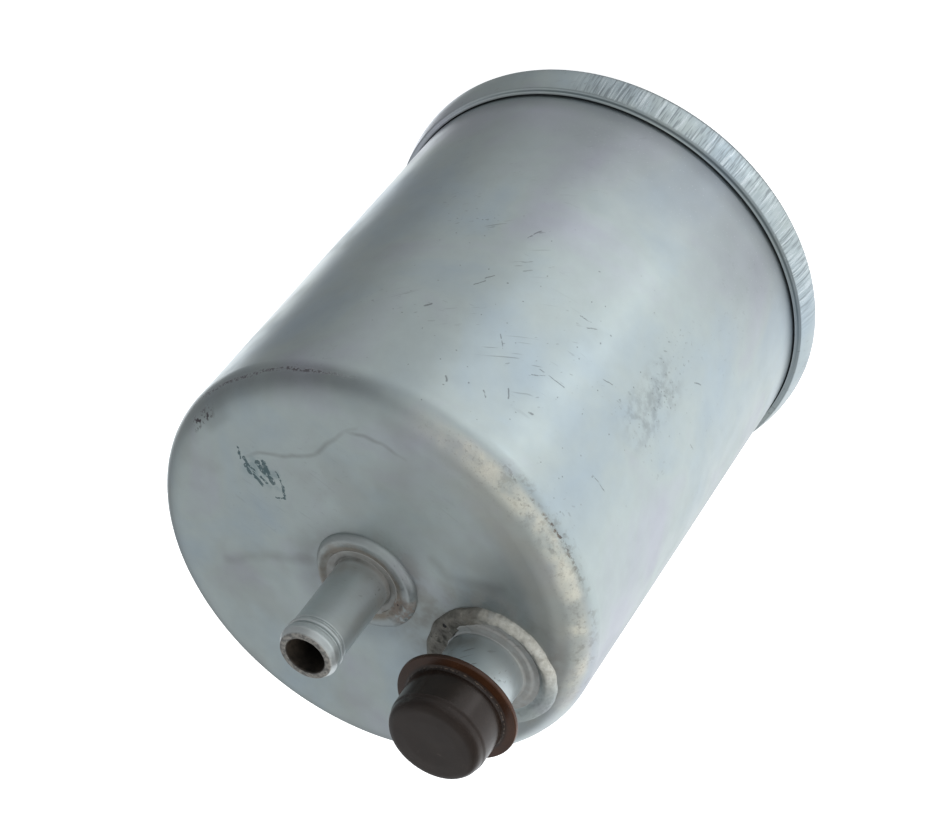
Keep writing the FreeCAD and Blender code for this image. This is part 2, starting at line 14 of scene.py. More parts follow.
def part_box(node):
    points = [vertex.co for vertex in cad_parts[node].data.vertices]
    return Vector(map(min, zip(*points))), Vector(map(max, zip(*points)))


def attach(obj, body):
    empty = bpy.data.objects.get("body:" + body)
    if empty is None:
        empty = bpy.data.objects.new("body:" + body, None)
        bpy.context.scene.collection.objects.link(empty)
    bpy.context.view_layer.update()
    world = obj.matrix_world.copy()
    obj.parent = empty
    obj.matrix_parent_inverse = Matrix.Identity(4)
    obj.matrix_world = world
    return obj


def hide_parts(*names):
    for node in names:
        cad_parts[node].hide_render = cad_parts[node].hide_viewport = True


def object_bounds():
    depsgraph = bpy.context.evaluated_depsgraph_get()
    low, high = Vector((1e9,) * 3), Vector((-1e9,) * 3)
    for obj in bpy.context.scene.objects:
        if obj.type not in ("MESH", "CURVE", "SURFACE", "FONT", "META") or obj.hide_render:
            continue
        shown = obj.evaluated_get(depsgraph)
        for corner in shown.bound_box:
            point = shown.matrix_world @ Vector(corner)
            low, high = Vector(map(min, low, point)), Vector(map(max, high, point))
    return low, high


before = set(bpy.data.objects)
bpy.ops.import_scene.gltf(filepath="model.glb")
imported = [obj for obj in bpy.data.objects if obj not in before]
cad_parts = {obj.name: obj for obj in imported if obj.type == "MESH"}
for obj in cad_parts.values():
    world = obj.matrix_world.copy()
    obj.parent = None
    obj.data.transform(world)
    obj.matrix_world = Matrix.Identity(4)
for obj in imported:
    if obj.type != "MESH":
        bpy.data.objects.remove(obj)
cad_low, cad_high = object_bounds()

MM = 0.001


def span(node):
    """Lowest and highest corner of a CAD node, in millimetres."""
    low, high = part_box(node)
    return low / MM, high / MM


# Sheet and fit sizes that no box gives.
CAN_WALL = 0.8
LID_WALL = 0.6
LAYER_GAP = 0.05
NECK_SQUEEZE = 0.1
SHOULDER_ROUND = 6.0
RING_HEIGHT = 6.45

can_low, can_high = span("can_shell")
lid_low, lid_high = span("base_lid")
outlet_low, outlet_high = span("outlet_spigot")
outlet_weld_high = span("outlet_weld")[1]
inlet_low, inlet_high = span("inlet_spigot")
inlet_weld_high = span("inlet_weld")[1]
cap_low, cap_high = span("inlet_cap")

band_radius = lid_high.x
hook_radius = can_high.x
neck_radius = hook_radius - CAN_WALL - LID_WALL - LAYER_GAP * 2
can_radius = neck_radius + NECK_SQUEEZE
end_height = can_high.z
inlet_x = (inlet_low.x + inlet_high.x) / 2
inlet_centre = (inlet_x, 0.0)
OUTLET_RADIUS = 5.0
OUTLET_BORE = 3.45
INLET_RADIUS = 7.0
INLET_BORE = 5.6


# ---- mesh helpers

ARC_STEP = math.radians(8)
HOLD = 0.06  # a point this near to an arc keeps the flat run beside it flat when it is shaded smooth


def round_corner(before, corner, after, radius):
    """Points of the arc that rounds a corner, or the corner itself where it is sharp."""
    if radius == 0:
        return [corner]
    back = (before - corner).normalized()
    onward = (after - corner).normalized()
    half = back.angle(onward) / 2
    centre = corner + (back + onward).normalized() * radius / math.sin(half)
    start = corner + back * radius / math.tan(half) - centre
    end = corner + onward * radius / math.tan(half) - centre
    turn = math.atan2(start.x * end.y - start.y * end.x, start.dot(end))
    steps = max(2, math.ceil(abs(turn) / ARC_STEP))
    return [centre + Matrix.Rotation(turn * step / steps, 2) @ start for step in range(steps + 1)]


def divide(start, end, pitch):
    """Points inside a straight run: one close to each end, the others about a pitch apart."""
    length = (end - start).length
    if length < HOLD * 4:
        return []
    count = max(1, round(length / pitch))
    shares = [HOLD / length, *(step / count for step in range(1, count)), 1 - HOLD / length]
    return [start.lerp(end, share) for share in shares]


def outline(corners, pitch):
    """Closed section through (radius, height, rounding) corners. One that starts and ends on the axis stays open."""
    spots = [Vector(corner[:2]) for corner in corners]
    count = len(spots)
    arcs = [
        round_corner(spots[index - 1], spots[index], spots[(index + 1) % count], corners[index][2])
        for index in range(count)
    ]
    points = []
    for index, arc in enumerate(arcs):
        points += arc
        following = arcs[(index + 1) % count][0]
        on_axis = arc[-1].x == 0 and following.x == 0
        if not on_axis:
            points += divide(arc[-1], following, pitch)
    return points


def turned(name, points, segments, centre=(0.0, 0.0), shape=None):
    """Mesh object of a section turned round a vertical line. shape(radius, angle, height) gives the final two."""
    places, faces, rings = [], [], []
    for point in points:
        spots = 1 if point.x == 0 else segments
        rings.append([len(places) + spot for spot in range(spots)])
        for spot in range(spots):
            angle = 2 * math.pi * spot / segments
            radius, height = shape(point.x, angle, point.y) if shape else point
            across = centre[0] + radius * math.cos(angle)
            along = centre[1] + radius * math.sin(angle)
            places.append((across * MM, along * MM, height * MM))
    for ring, following in zip(rings, rings[1:] + rings[:1]):
        if len(ring) == 1 and len(following) == 1:
            continue
        for spot in range(segments):
            corners = [
                ring[spot % len(ring)], ring[(spot + 1) % len(ring)], following[(spot + 1) % len(following)],
                following[spot % len(following)],
            ]
            faces.append(list(dict.fromkeys(corners)))
    return mesh_object(name, places, faces)


def mesh_object(name, places, faces):
    mesh = bpy.data.meshes.new(name)
    mesh.from_pydata(places, [], faces)
    shell = bmesh.new()
    shell.from_mesh(mesh)
    bmesh.ops.recalc_face_normals(shell, faces=shell.faces)
    shell.to_mesh(mesh)
    shell.free()
    mesh.shade_smooth()
    piece = bpy.data.objects.new(name, mesh)
    bpy.context.scene.collection.objects.link(piece)
    return piece


def part_way(value, start, length):
    """How far a value has come from the start along the length, held between 0 and 1."""
    return max(0.0, min(1.0, (value - start) / length))


def bump_of(distance, width):
    """Smooth bell that is 1 at distance 0 and fades over the width."""
    return math.exp(-((distance / width) ** 2))


def drift(angle, height, seed, per_turn, per_mm):
    """Slow seamless variation from -1 to 1 round a turned piece."""
    spot = Vector((math.cos(angle) * per_turn, math.sin(angle) * per_turn, height * per_mm + seed))
    return noise.noise(spot)


def angle_from(angle, degrees):
    """Signed difference between an angle and a bearing, in degrees."""
    return (math.degrees(angle) - degrees + 180) % 360 - 180


def stand_for(piece, material, node, body):
    """Puts a finished piece in the place of its CAD node."""
    piece.data.materials.append(material)
    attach(piece, body)
    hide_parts(node)
    return piece


# ---- shader helpers


class Graph:
    """Short calls that add nodes to a tree. Values are numbers, colours, vectors or sockets."""

    def __init__(self, tree):
        self.nodes = tree.nodes
        self.links = tree.links
        self.nodes.clear()

    def put(self, socket, value):
        if isinstance(value, bpy.types.NodeSocket):
            self.links.new(value, socket)
        elif isinstance(value, tuple) and len(socket.default_value) == 4:
            socket.default_value = (*value, 1.0)
        else:
            socket.default_value = value

    def node(self, kind, inputs, **settings):
        made = self.nodes.new(kind)
        for key, value in settings.items():
            setattr(made, key, value)
        for key, value in inputs.items():
            self.put(made.inputs[key], value)
        return made

    def calc(self, operation, first, second=0.0, third=0.0):
        inputs = {0: first, 1: second, 2: third}
        return self.node("ShaderNodeMath", inputs, operation=operation).outputs[0]

    def times(self, *values):
        result = values[0]
        for value in values[1:]:
            result = self.calc("MULTIPLY", result, value)
        return result

    def most(self, *values):
        result = values[0]
        for value in values[1:]:
            result = self.calc("MAXIMUM", result, value)
        return result

    def move(self, operation, first, second=(0.0, 0.0, 0.0), scale=1.0):
        inputs = {0: first, 3: scale} if operation == "SCALE" else {0: first, 1: second}
        made = self.node("ShaderNodeVectorMath", inputs, operation=operation)
        return made.outputs["Value" if operation in ("LENGTH", "DISTANCE", "DOT_PRODUCT") else "Vector"]

    def fade(self, value, zero_at, one_at, low=0.0, high=1.0):
        """Goes smoothly from low at one value to high at the other."""
        inputs = {"Value": value, "From Min": zero_at, "From Max": one_at, "To Min": low, "To Max": high}
        return self.node("ShaderNodeMapRange", inputs, interpolation_type="SMOOTHSTEP").outputs[0]


class Paint(Graph):
    """A material built up over its own colour and relief. Places are in millimetres."""

    def __init__(self, name):
        self.material = bpy.data.materials.new(name)
        self.material.use_nodes = True
        super().__init__(self.material.node_tree)
        self.shader = self.node("ShaderNodeBsdfPrincipled", {})
        self.node("ShaderNodeOutputMaterial", {"Surface": self.shader.outputs["BSDF"]})
        coordinates = self.node("ShaderNodeTexCoord", {})
        self.place = self.move("SCALE", coordinates.outputs["Object"], scale=1 / MM)
        self.across, self.along, self.height = self.parts(self.place)
        self.radius = self.distance_from((0.0, 0.0))
        self.bearing = self.bearing_from((0.0, 0.0))
        self.colour = (0.5, 0.5, 0.5)
        self.relief = 0.0

    def cover(self, colour, *shares):
        """Lays a colour over the one so far, as thickly as the product of the shares."""
        self.colour = self.mix(self.times(*shares), self.colour, colour)

    def emboss(self, height, factor):
        """Adds a height to the relief so far."""
        self.relief = self.calc("MULTIPLY_ADD", height, factor, self.relief)

    def parts(self, vector):
        return self.node("ShaderNodeSeparateXYZ", {0: vector}).outputs

    def join(self, across, along, height):
        return self.node("ShaderNodeCombineXYZ", {0: across, 1: along, 2: height}).outputs[0]

    def distance_from(self, centre):
        sideways = self.calc("SUBTRACT", self.across, centre[0])
        forward = self.calc("SUBTRACT", self.along, centre[1])
        return self.move("LENGTH", self.join(sideways, forward, 0.0))

    def bearing_from(self, centre):
        sideways = self.calc("SUBTRACT", self.across, centre[0])
        forward = self.calc("SUBTRACT", self.along, centre[1])
        return self.times(self.calc("ARCTAN2", forward, sideways), math.degrees(1))

    def band(self, value, middle, half_width, soft):
        """1 within half_width of the middle, fading to 0 over the soft width outside it."""
        off = self.calc("ABSOLUTE", self.calc("SUBTRACT", value, middle))
        return self.fade(off, half_width + soft, half_width)

    def sector(self, middle, half_width, soft, bearing=None):
        """1 within half_width degrees of a bearing, fading to 0 over the soft width, all the way round."""
        off = self.calc("WRAP", self.calc("SUBTRACT", bearing or self.bearing, middle), 180.0, -180.0)
        return self.fade(self.calc("ABSOLUTE", off), half_width + soft, half_width)

    def noise(self, size, detail=3.0, rough=0.5, place=None, bend=0.0):
        """Cloudy value from 0 to 1 with features about size millimetres across."""
        inputs = {"Vector": place or self.place, "Scale": 1 / size, "Detail": detail, "Roughness": rough}
        inputs["Distortion"] = bend
        return self.node("ShaderNodeTexNoise", inputs).outputs["Fac"]

    def patches(self, zero_at, one_at, *cloud, **where):
        """Noise that fades in between two of its values."""
        return self.fade(self.noise(*cloud, **where), zero_at, one_at)

    def cells(self, size, place=None, feature="F1"):
        inputs = {"Vector": place or self.place, "Scale": 1 / size}
        return self.node("ShaderNodeTexVoronoi", inputs, feature=feature).outputs["Distance"]

    def warped(self, size, reach, place=None):
        """Places pushed about by up to the reach, in clouds of the given size."""
        start = place or self.place
        inputs = {"Vector": start, "Scale": 1 / size, "Detail": 2.0}
        cloud = self.node("ShaderNodeTexNoise", inputs).outputs["Color"]
        push = self.move("SCALE", self.move("SUBTRACT", cloud, (0.5, 0.5, 0.5)), scale=reach * 2)
        return self.move("ADD", start, push)

    def ramp(self, value, stops):
        made = self.node("ShaderNodeValToRGB", {0: value})
        elements = made.color_ramp.elements
        while len(elements) < len(stops):
            elements.new(1.0)
        for element, (position, colour) in zip(elements, stops):
            element.position = position
            element.color = (*colour, 1.0)
        return made.outputs["Color"]

    def mix(self, factor, first, second, blend="MIX"):
        inputs = {0: factor, 6: first, 7: second}
        made = self.node("ShaderNodeMix", inputs, data_type="RGBA", blend_type=blend)
        return made.outputs[2]

    def level(self, factor, first, second):
        """A number between two others."""
        return self.node("ShaderNodeMix", {0: factor, 2: first, 3: second}, data_type="FLOAT").outputs[0]

    def stroke(self, start, end, width, place=None):
        """1 along the line between two places, fading to 0 at the width."""
        inputs = {"Place": place or self.place, "Start": start, "End": end, "Width": width}
        return self.node("ShaderNodeGroup", inputs, node_tree=stroke_group()).outputs[0]

    def strokes(self, locate, lines, place):
        """Strongest of several strokes, gathered one by one to keep the shader small. locate finds a line's ends."""
        strongest = self.stroke(locate(*lines[0][:2]), locate(*lines[0][2:4]), lines[0][4], place)
        for line in lines[1:]:
            strongest = self.most(strongest, self.stroke(locate(*line[:2]), locate(*line[2:4]), line[4], place))
        return strongest

    def finish(self, rough, metal, depth, **uniform):
        """Links what varies, sets what is the same all over, and returns the material. depth is in millimetres."""
        varying = {"Base Color": self.colour, "Roughness": rough, "Metallic": metal}
        if depth:
            bump = self.node("ShaderNodeBump", {"Height": self.relief, "Distance": depth * MM, "Strength": 1.0})
            varying["Normal"] = bump.outputs[0]
        for key, value in varying.items():
            self.put(self.shader.inputs[key], value)
        for key, value in uniform.items():
            self.shader.inputs[key.replace("_", " ")].default_value = value
        return self.material


def stroke_group():
    """Node group: closeness of a place to the straight line between a start and an end."""
    found = bpy.data.node_groups.get("stroke")
    if found:
        return found
    group = bpy.data.node_groups.new("stroke", "ShaderNodeTree")
    for name in ("Place", "Start", "End"):
        group.interface.new_socket(name, in_out="INPUT", socket_type="NodeSocketVector")
    group.interface.new_socket("Width", in_out="INPUT", socket_type="NodeSocketFloat")
    group.interface.new_socket("Mask", in_out="OUTPUT", socket_type="NodeSocketFloat")
    graph = Graph(group)
    given = graph.node("NodeGroupInput", {}).outputs
    line = graph.move("SUBTRACT", given["End"], given["Start"])
    offset = graph.move("SUBTRACT", given["Place"], given["Start"])
    along = graph.move("DOT_PRODUCT", offset, line)
    share = graph.calc("DIVIDE", along, graph.move("DOT_PRODUCT", line, line))
    share.node.use_clamp = True
    gap = graph.move("DISTANCE", offset, graph.move("SCALE", line, scale=share))
    mask = graph.calc("SUBTRACT", 1.0, graph.calc("DIVIDE", gap, given["Width"]))
    mask.node.use_clamp = True
    graph.node("NodeGroupOutput", {0: mask})
    return group


def on_wall(degrees, height):
    """A place on the can's wall."""
    angle = math.radians(degrees)
    return (can_radius * math.cos(angle), can_radius * math.sin(angle), height)


def on_end(across, along):
    """A place on the can's flat end."""
    return (across, along, end_height)


# ---- materials

ZINC_BLUE = (0.50, 0.59, 0.64)
ZINC_GREEN = (0.56, 0.63, 0.62)
ZINC_VIOLET = (0.55, 0.58, 0.63)
GRIME = (0.11, 0.10, 0.095)
SPECK = (0.035, 0.03, 0.035)
CREAM = (0.64, 0.60, 0.48)
INK = (0.012, 0.045, 0.055)
PINHOLE = (inlet_x + 9.0, -3.2, end_height + 1.0)


def plated(mat):
    """Colour and relief of dull zinc plate with its blue, green and violet casts. Returns its roughness."""
    cast = mat.noise(26.0, 4.0, 0.55, bend=0.4)
    mat.colour = mat.ramp(cast, [(0.32, ZINC_BLUE), (0.52, ZINC_GREEN), (0.68, ZINC_VIOLET)])
    mottle = mat.noise(3.2, 4.0, 0.6)
    mat.cover(GRIME, mottle, 0.16)
    bloom = mat.patches(0.42, 0.7, 9.0, 3.0, 0.55)
    rough = mat.level(bloom, 0.29, 0.37)
    grain = mat.noise(0.22, 2.0, 0.6)
    waves = mat.noise(14.0, 2.0, 0.5)
    mat.relief = mat.calc("MULTIPLY_ADD", grain, 0.04, mat.times(waves, 1.6))
    return rough


def bench_marks(mat):
    """Fine short scratches in all directions, sparse."""
    found = []
    for turn, size in ((0.4, 1.0), (1.7, 0.8), (2.6, 0.9)):
        rotated = mat.node(
            "ShaderNodeVectorRotate", {"Vector": mat.place, "Angle": turn, "Axis": (0.9, 0.3, 0.3)},
        ).outputs[0]
        thin = mat.move("MULTIPLY", rotated, (0.05, 1.4, 1.4))
        line = mat.patches(0.70, 0.76, size, 1.0, 0.4, place=thin)
        found.append(line)
    return mat.times(mat.most(*found), mat.patches(0.5, 0.66, 17.0, 2.0))


WALL_SCRATCHES = [
    (-76.0, 60.5, -74.5, 62.5, 0.16), (-77.0, 58.6, -75.6, 60.0, 0.14), (-77.5, 47.0, -79.0, 44.0, 0.16),
    (-79.0, 44.6, -81.5, 42.6, 0.14), (-69.0, 70.3, -68.0, 71.2, 0.30), (-87.0, 70.0, -89.5, 72.5, 0.12),
    (-99.0, 56.2, -102.0, 55.6, 0.14), (-101.5, 57.4, -104.0, 56.0, 0.12), (-99.0, 71.4, -106.0, 70.7, 0.10),
    (-98.5, 73.4, -101.0, 71.6, 0.16), (-112.0, 63.1, -115.0, 62.2, 0.12), (-124.0, 78.3, -130.0, 77.8, 0.10),
    (-133.0, 44.2, -135.0, 42.9, 0.16), (-144.0, 51.2, -146.0, 50.8, 0.14), (-83.0, 84.0, -84.0, 85.0, 0.22),
    (-92.0, 82.5, -93.2, 83.4, 0.22), (-96.0, 79.0, -97.5, 80.6, 0.20), (-103.0, 80.2, -104.0, 79.8, 0.22),
]
TIDE_LINES = [
    (26.5, -9.8, 25.0, -12.6, 0.6), (25.0, -12.6, 21.4, -15.0, 0.6), (21.4, -15.0, 16.4, -19.7, 0.6),
    (16.4, -19.7, 15.0, -23.0, 0.6), (15.0, -23.0, 13.4, -28.4, 0.6), (13.4, -28.4, 10.4, -30.1, 0.6),
    (10.4, -30.1, 7.1, -30.8, 0.6), (7.1, -30.8, 2.8, -30.8, 0.6), (13.4, -28.4, 11.5, -32.0, 0.6),
]
SOFT_TIDES = [
    (9.4, 3.1, 16.4, 8.5, 1.5), (16.4, 8.5, 22.0, 15.0, 1.5), (-8.4, -14.2, -12.0, -12.6, 1.5),
    (-12.0, -12.6, -20.3, -17.6, 1.5),
]
INK_DABS = [
    (26.6, -9.6, 25.4, -8.6, 0.55), (25.9, -8.2, 24.6, -7.2, 0.6), (25.0, -8.6, 24.0, -8.0, 0.5),
    (24.2, -10.4, 22.6, -9.2, 0.8), (23.4, -11.2, 21.2, -9.0, 0.7), (22.6, -9.8, 20.4, -8.2, 0.75),
    (23.8, -7.2, 22.0, -6.4, 0.6), (22.6, -7.8, 21.4, -7.4, 0.45), (20.8, -11.0, 18.8, -9.0, 0.32),
    (18.8, -9.0, 17.6, -6.6, 0.42), (17.6, -6.6, 18.9, -5.6, 0.36), (28.2, -11.0, 27.0, -8.8, 0.28),
]


def can_paint():
    mat = Paint("plated_can")
    rough = plated(mat)
    shaken = mat.warped(2.2, 0.5)
    rough_edge = mat.warped(0.7, 0.35)
    wavy = mat.warped(7.0, 1.2)
    speckle = mat.noise(0.55, 3.0, 0.65)
    on_face = mat.fade(mat.height, end_height - 1.2, end_height - 0.2)

    # Painted shade: the wall on the side towards bearing -102 darkens as it nears the seam ring; pale dust specks are
    # scattered over the same area.
    near_ring_shade_and_dust = mat.times(
        mat.fade(mat.height, 40.0, 9.0), mat.sector(-102.0, 24.0, 34.0),
        mat.level(mat.noise(8.0, 3.0), 0.6, 1.1),
    )
    mat.cover((0.27, 0.275, 0.305), near_ring_shade_and_dust, 0.62)
    dust = mat.times(near_ring_shade_and_dust, mat.fade(mat.cells(0.8, place=shaken), 0.17, 0.08), 0.38)
    mat.cover((0.66, 0.67, 0.69), dust)
    ring_shade = mat.fade(mat.height, 12.5, 7.4)
    mat.cover((0.16, 0.17, 0.18), ring_shade, 0.45)

    smudge = mat.times(
        mat.sector(-126.0, 2.0, 7.0), mat.band(mat.height, 57.0, 4.0, 9.0),
        mat.patches(0.40, 0.66, 2.2, 4.0, 0.6, place=shaken),
    )
    mat.cover((0.12, 0.12, 0.13), smudge, 0.32)
    scratches = mat.strokes(on_wall, WALL_SCRATCHES, mat.warped(1.6, 0.3))
    scratches = mat.times(mat.fade(scratches, 0.0, 0.6), mat.patches(0.30, 0.46, 0.9, 2.0))
    handled = mat.times(
        mat.sector(-96.0, 26.0, 30.0), mat.band(mat.height, 70.0, 22.0, 16.0),
        mat.fade(mat.height, end_height - 1.5, end_height - 4.0),
    )
    fine = mat.times(bench_marks(mat), mat.level(handled, 0.25, 1.0))
    dots = mat.times(handled, mat.fade(mat.cells(2.1, place=shaken), 0.085, 0.045))
    marks = mat.most(mat.times(scratches, 0.55), mat.times(fine, 0.36), mat.times(dots, 0.5))
    mat.cover((0.09, 0.09, 0.095), marks)

    line_height = mat.calc("ADD", mat.height, mat.times(mat.noise(5.0, 2.0), 1.6))
    rim = mat.times(mat.band(line_height, 92.5, 0.16, 0.28), mat.fade(mat.radius, 38.0, 38.8))
    left = mat.times(rim, mat.sector(-40.0, 15.0, 14.0))
    right = mat.times(rim, mat.sector(-123.0, 6.0, 16.0), mat.patches(0.42, 0.56, 3.4, 2.0))
    flakes = mat.fade(speckle, 0.46, 0.54)
    corner = mat.times(
        mat.sector(-17.0, 2.5, 4.0), mat.band(mat.radius, 37.4, 0.5, 0.8),
        mat.patches(0.50, 0.56, 0.8, 3.0, 0.6),
    )
    flecks = mat.most(mat.times(mat.most(left, right), flakes), corner)
    mat.cover(SPECK, flecks)
    # Painted shade: a mottled grey band over the shoulder round on the side towards bearing -38.
    shoulder_shade = mat.times(
        mat.band(mat.height, 92.2, 0.6, 2.6), mat.sector(-38.0, 20.0, 24.0),
        mat.level(mat.noise(3.0, 3.0), 0.5, 1.2),
    )
    mat.cover((0.19, 0.19, 0.205), shoulder_shade, 0.45)
    smear = mat.times(mat.sector(-22.0, 2.5, 5.0), mat.band(mat.radius, 36.4, 0.8, 1.6))
    mat.cover((0.12, 0.12, 0.12), smear, 0.2)

    # Partly a cream deposit and partly a painted highlight: a pale band along the shoulder round towards bearing
    # -134, also made rougher and less metallic.
    cream = mat.times(
        mat.band(mat.height, 93.5, 0.5, 1.7), mat.sector(-134.0, 34.0, 24.0),
        mat.level(mat.patches(0.36, 0.62, 6.5, 4.0, 0.6, place=wavy), 0.45, 1.0),
    )
    mat.cover(CREAM, cream, 0.62)
    soil = mat.times(
        mat.band(mat.height, 92.3, 1.0, 2.2), mat.sector(-140.0, 24.0, 26.0),
        mat.patches(0.50, 0.64, 1.9, 4.0, 0.7, place=shaken),
    )
    mat.cover((0.17, 0.15, 0.12), soil, 0.3)
    tan = mat.times(
        mat.band(mat.radius, 35.2, 2.2, 4.0), mat.sector(-138.0, 28.0, 26.0), on_face,
        mat.level(mat.noise(5.0, 3.0, 0.6, place=shaken), 0.3, 1.1),
    )
    mat.cover((0.34, 0.315, 0.26), tan, 0.55)
    grit = mat.times(cream, mat.fade(speckle, 0.56, 0.66))
    mat.cover(GRIME, grit, 0.35)

    tides = mat.strokes(on_end, TIDE_LINES, wavy)
    soft_tides = mat.strokes(on_end, SOFT_TIDES, wavy)
    stains = mat.patches(0.46, 0.66, 13.0, 3.0, 0.5, place=wavy)
    mat.cover((0.33, 0.32, 0.29), stains, on_face, 0.2)
    mat.cover((0.20, 0.20, 0.19), mat.most(mat.times(tides, 0.40), mat.times(soft_tides, 0.24)))

    outlet_scorch = mat.fade(mat.distance_from((0.0, 0.0)), 15.0, 9.5)
    inlet_scorch = mat.fade(mat.distance_from(inlet_centre), 19.0, 12.0)
    patchy = mat.patches(0.40, 0.66, 4.5, 3.0, 0.6, place=shaken)
    between = mat.sector(-140.0, 34.0, 40.0)
    scorch = mat.times(mat.most(outlet_scorch, inlet_scorch), patchy, on_face, mat.level(between, 0.35, 1.0))
    mat.cover((0.25, 0.215, 0.175), scorch, 0.55)
    halo = mat.times(mat.most(outlet_scorch, inlet_scorch), on_face)
    mat.cover((0.20, 0.215, 0.22), halo, 0.30)

    ink = mat.strokes(on_end, INK_DABS, rough_edge)
    ink = mat.times(mat.fade(ink, 0.25, 0.5), mat.patches(0.36, 0.47, 0.6, 3.0, 0.6))
    wash = mat.times(
        mat.band(mat.across, 22.4, 2.0, 3.2), mat.band(mat.along, -9.0, 0.8, 2.6), on_face,
        mat.patches(0.42, 0.62, 1.6, 3.0, 0.6, place=shaken),
    )
    mat.cover((0.10, 0.22, 0.25), wash, 0.32)
    mat.cover(INK, ink, 0.88)

    dull = mat.most(mat.times(cream, 0.55), mat.times(scorch, 0.3), mat.times(tan, 0.3), flecks, dust)
    rough = mat.level(mat.times(on_face, 0.55), rough, 0.55)
    rough = mat.level(mat.calc("MINIMUM", dull, 1.0), rough, 0.58)
    metal = mat.level(mat.calc("MINIMUM", mat.most(dull, ink), 1.0), 0.97, 0.40)
    mat.emboss(marks, -0.5)
    mat.emboss(mat.times(mat.most(cream, flecks), speckle), 1.0)
    return mat.finish(rough, metal, 0.06)


def lid_paint():
    mat = Paint("plated_lid")
    rough = plated(mat)
    arc = mat.times(mat.bearing, math.radians(band_radius))
    streak = mat.join(arc, 0.0, mat.times(mat.height, 0.06))
    fine = mat.noise(0.42, 2.0, 0.7, place=streak)
    wide = mat.noise(1.9, 2.0, 0.6, place=streak)
    rolled = mat.times(
        mat.fade(mat.bearing, -59.0, -66.0), mat.fade(mat.bearing, -160.0, -142.0),
        mat.band(mat.height, 3.5, 2.3, 0.4), mat.fade(mat.radius, 40.95, 41.25),
    )
    bright = mat.times(rolled, mat.fade(fine, 0.50, 0.60), mat.fade(wide, 0.40, 0.56))
    dark = mat.times(rolled, mat.fade(fine, 0.48, 0.38), 0.7)
    mat.cover((0.80, 0.86, 0.88), bright, 0.55)
    mat.cover((0.25, 0.28, 0.30), dark)
    foot = mat.times(mat.fade(mat.height, 1.4, 0.3), mat.fade(mat.radius, 38.0, 40.0))
    scuffed = mat.patches(0.36, 0.62, 2.2, 4.0, 0.6)
    mat.cover((0.17, 0.15, 0.16), foot, scuffed, 0.6)
    # Painted shadow: the lid's surfaces at the radius of the narrow gap beside the can's neck, at the top of the
    # ring, turn near-black.
    crevice_shadow = mat.times(mat.fade(mat.radius, 40.35, 39.9), mat.fade(mat.radius, 38.0, 39.3))
    mat.cover((0.02, 0.02, 0.02), crevice_shadow, 0.9)
    panel = mat.times(mat.fade(mat.radius, 38.5, 36.0), mat.noise(6.0, 4.0, 0.6))
    mat.cover((0.30, 0.29, 0.27), panel, 0.3)
    marks = bench_marks(mat)
    mat.cover(GRIME, marks, 0.35)
    mat.emboss(mat.times(rolled, fine), 1.4)
    mat.emboss(marks, -0.4)
    rough = mat.level(bright, rough, 0.24)
    metal = mat.level(mat.times(foot, scuffed), 0.97, 0.5)
    return mat.finish(rough, metal, 0.05)


def spigot_paint(name, centre, bore, tint):
    """Dull turned steel tube with a dark, unplated bore, faint lathe rings and a worn rim."""
    mat = Paint(name)
    rough = plated(mat)
    radius = mat.distance_from(centre)
    mat.cover(tint, 0.55)
    cloud = mat.patches(0.40, 0.66, 5.0, 3.0, 0.55)
    mat.cover((0.46, 0.45, 0.43), cloud, 0.25)
    lathe = mat.noise(0.34, 3.0, 0.6, place=mat.join(0.0, radius, mat.height))
    mat.cover((0.80, 0.82, 0.82), lathe, 0.2)
    foot = mat.times(
        mat.fade(mat.height, end_height + 1.5, end_height + 0.6), mat.level(mat.noise(1.6, 3.0), 0.45, 1.0),
    )
    mat.cover((0.20, 0.185, 0.165), foot, 0.95)
    bench = bench_marks(mat)
    mat.cover(GRIME, bench, 0.5)
    rim = mat.times(
        mat.fade(radius, bore + 1.35, bore + 1.1), mat.fade(mat.height, end_height + 18.2, end_height + 18.7),
    )
    chips = mat.patches(0.40, 0.60, 0.7, 4.0, 0.65)
    worn = mat.mix(chips, (0.20, 0.185, 0.165), (0.06, 0.055, 0.05))
    mat.cover(worn, rim, 0.9)
    inside = mat.fade(radius, bore + 0.25, bore + 0.05)
    soot = mat.ramp(mat.noise(1.2, 4.0, 0.6), [(0.35, (0.012, 0.010, 0.008)), (0.7, (0.035, 0.028, 0.022))])
    mat.cover(soot, inside)
    rough = mat.level(mat.most(inside, rim), 0.33, 0.6)
    metal = mat.level(mat.most(inside, mat.times(foot, 0.6), mat.times(rim, 0.8)), 0.86, 0.2)
    mat.emboss(lathe, 0.5)
    mat.emboss(bench, -0.4)
    return mat.finish(rough, metal, 0.04)


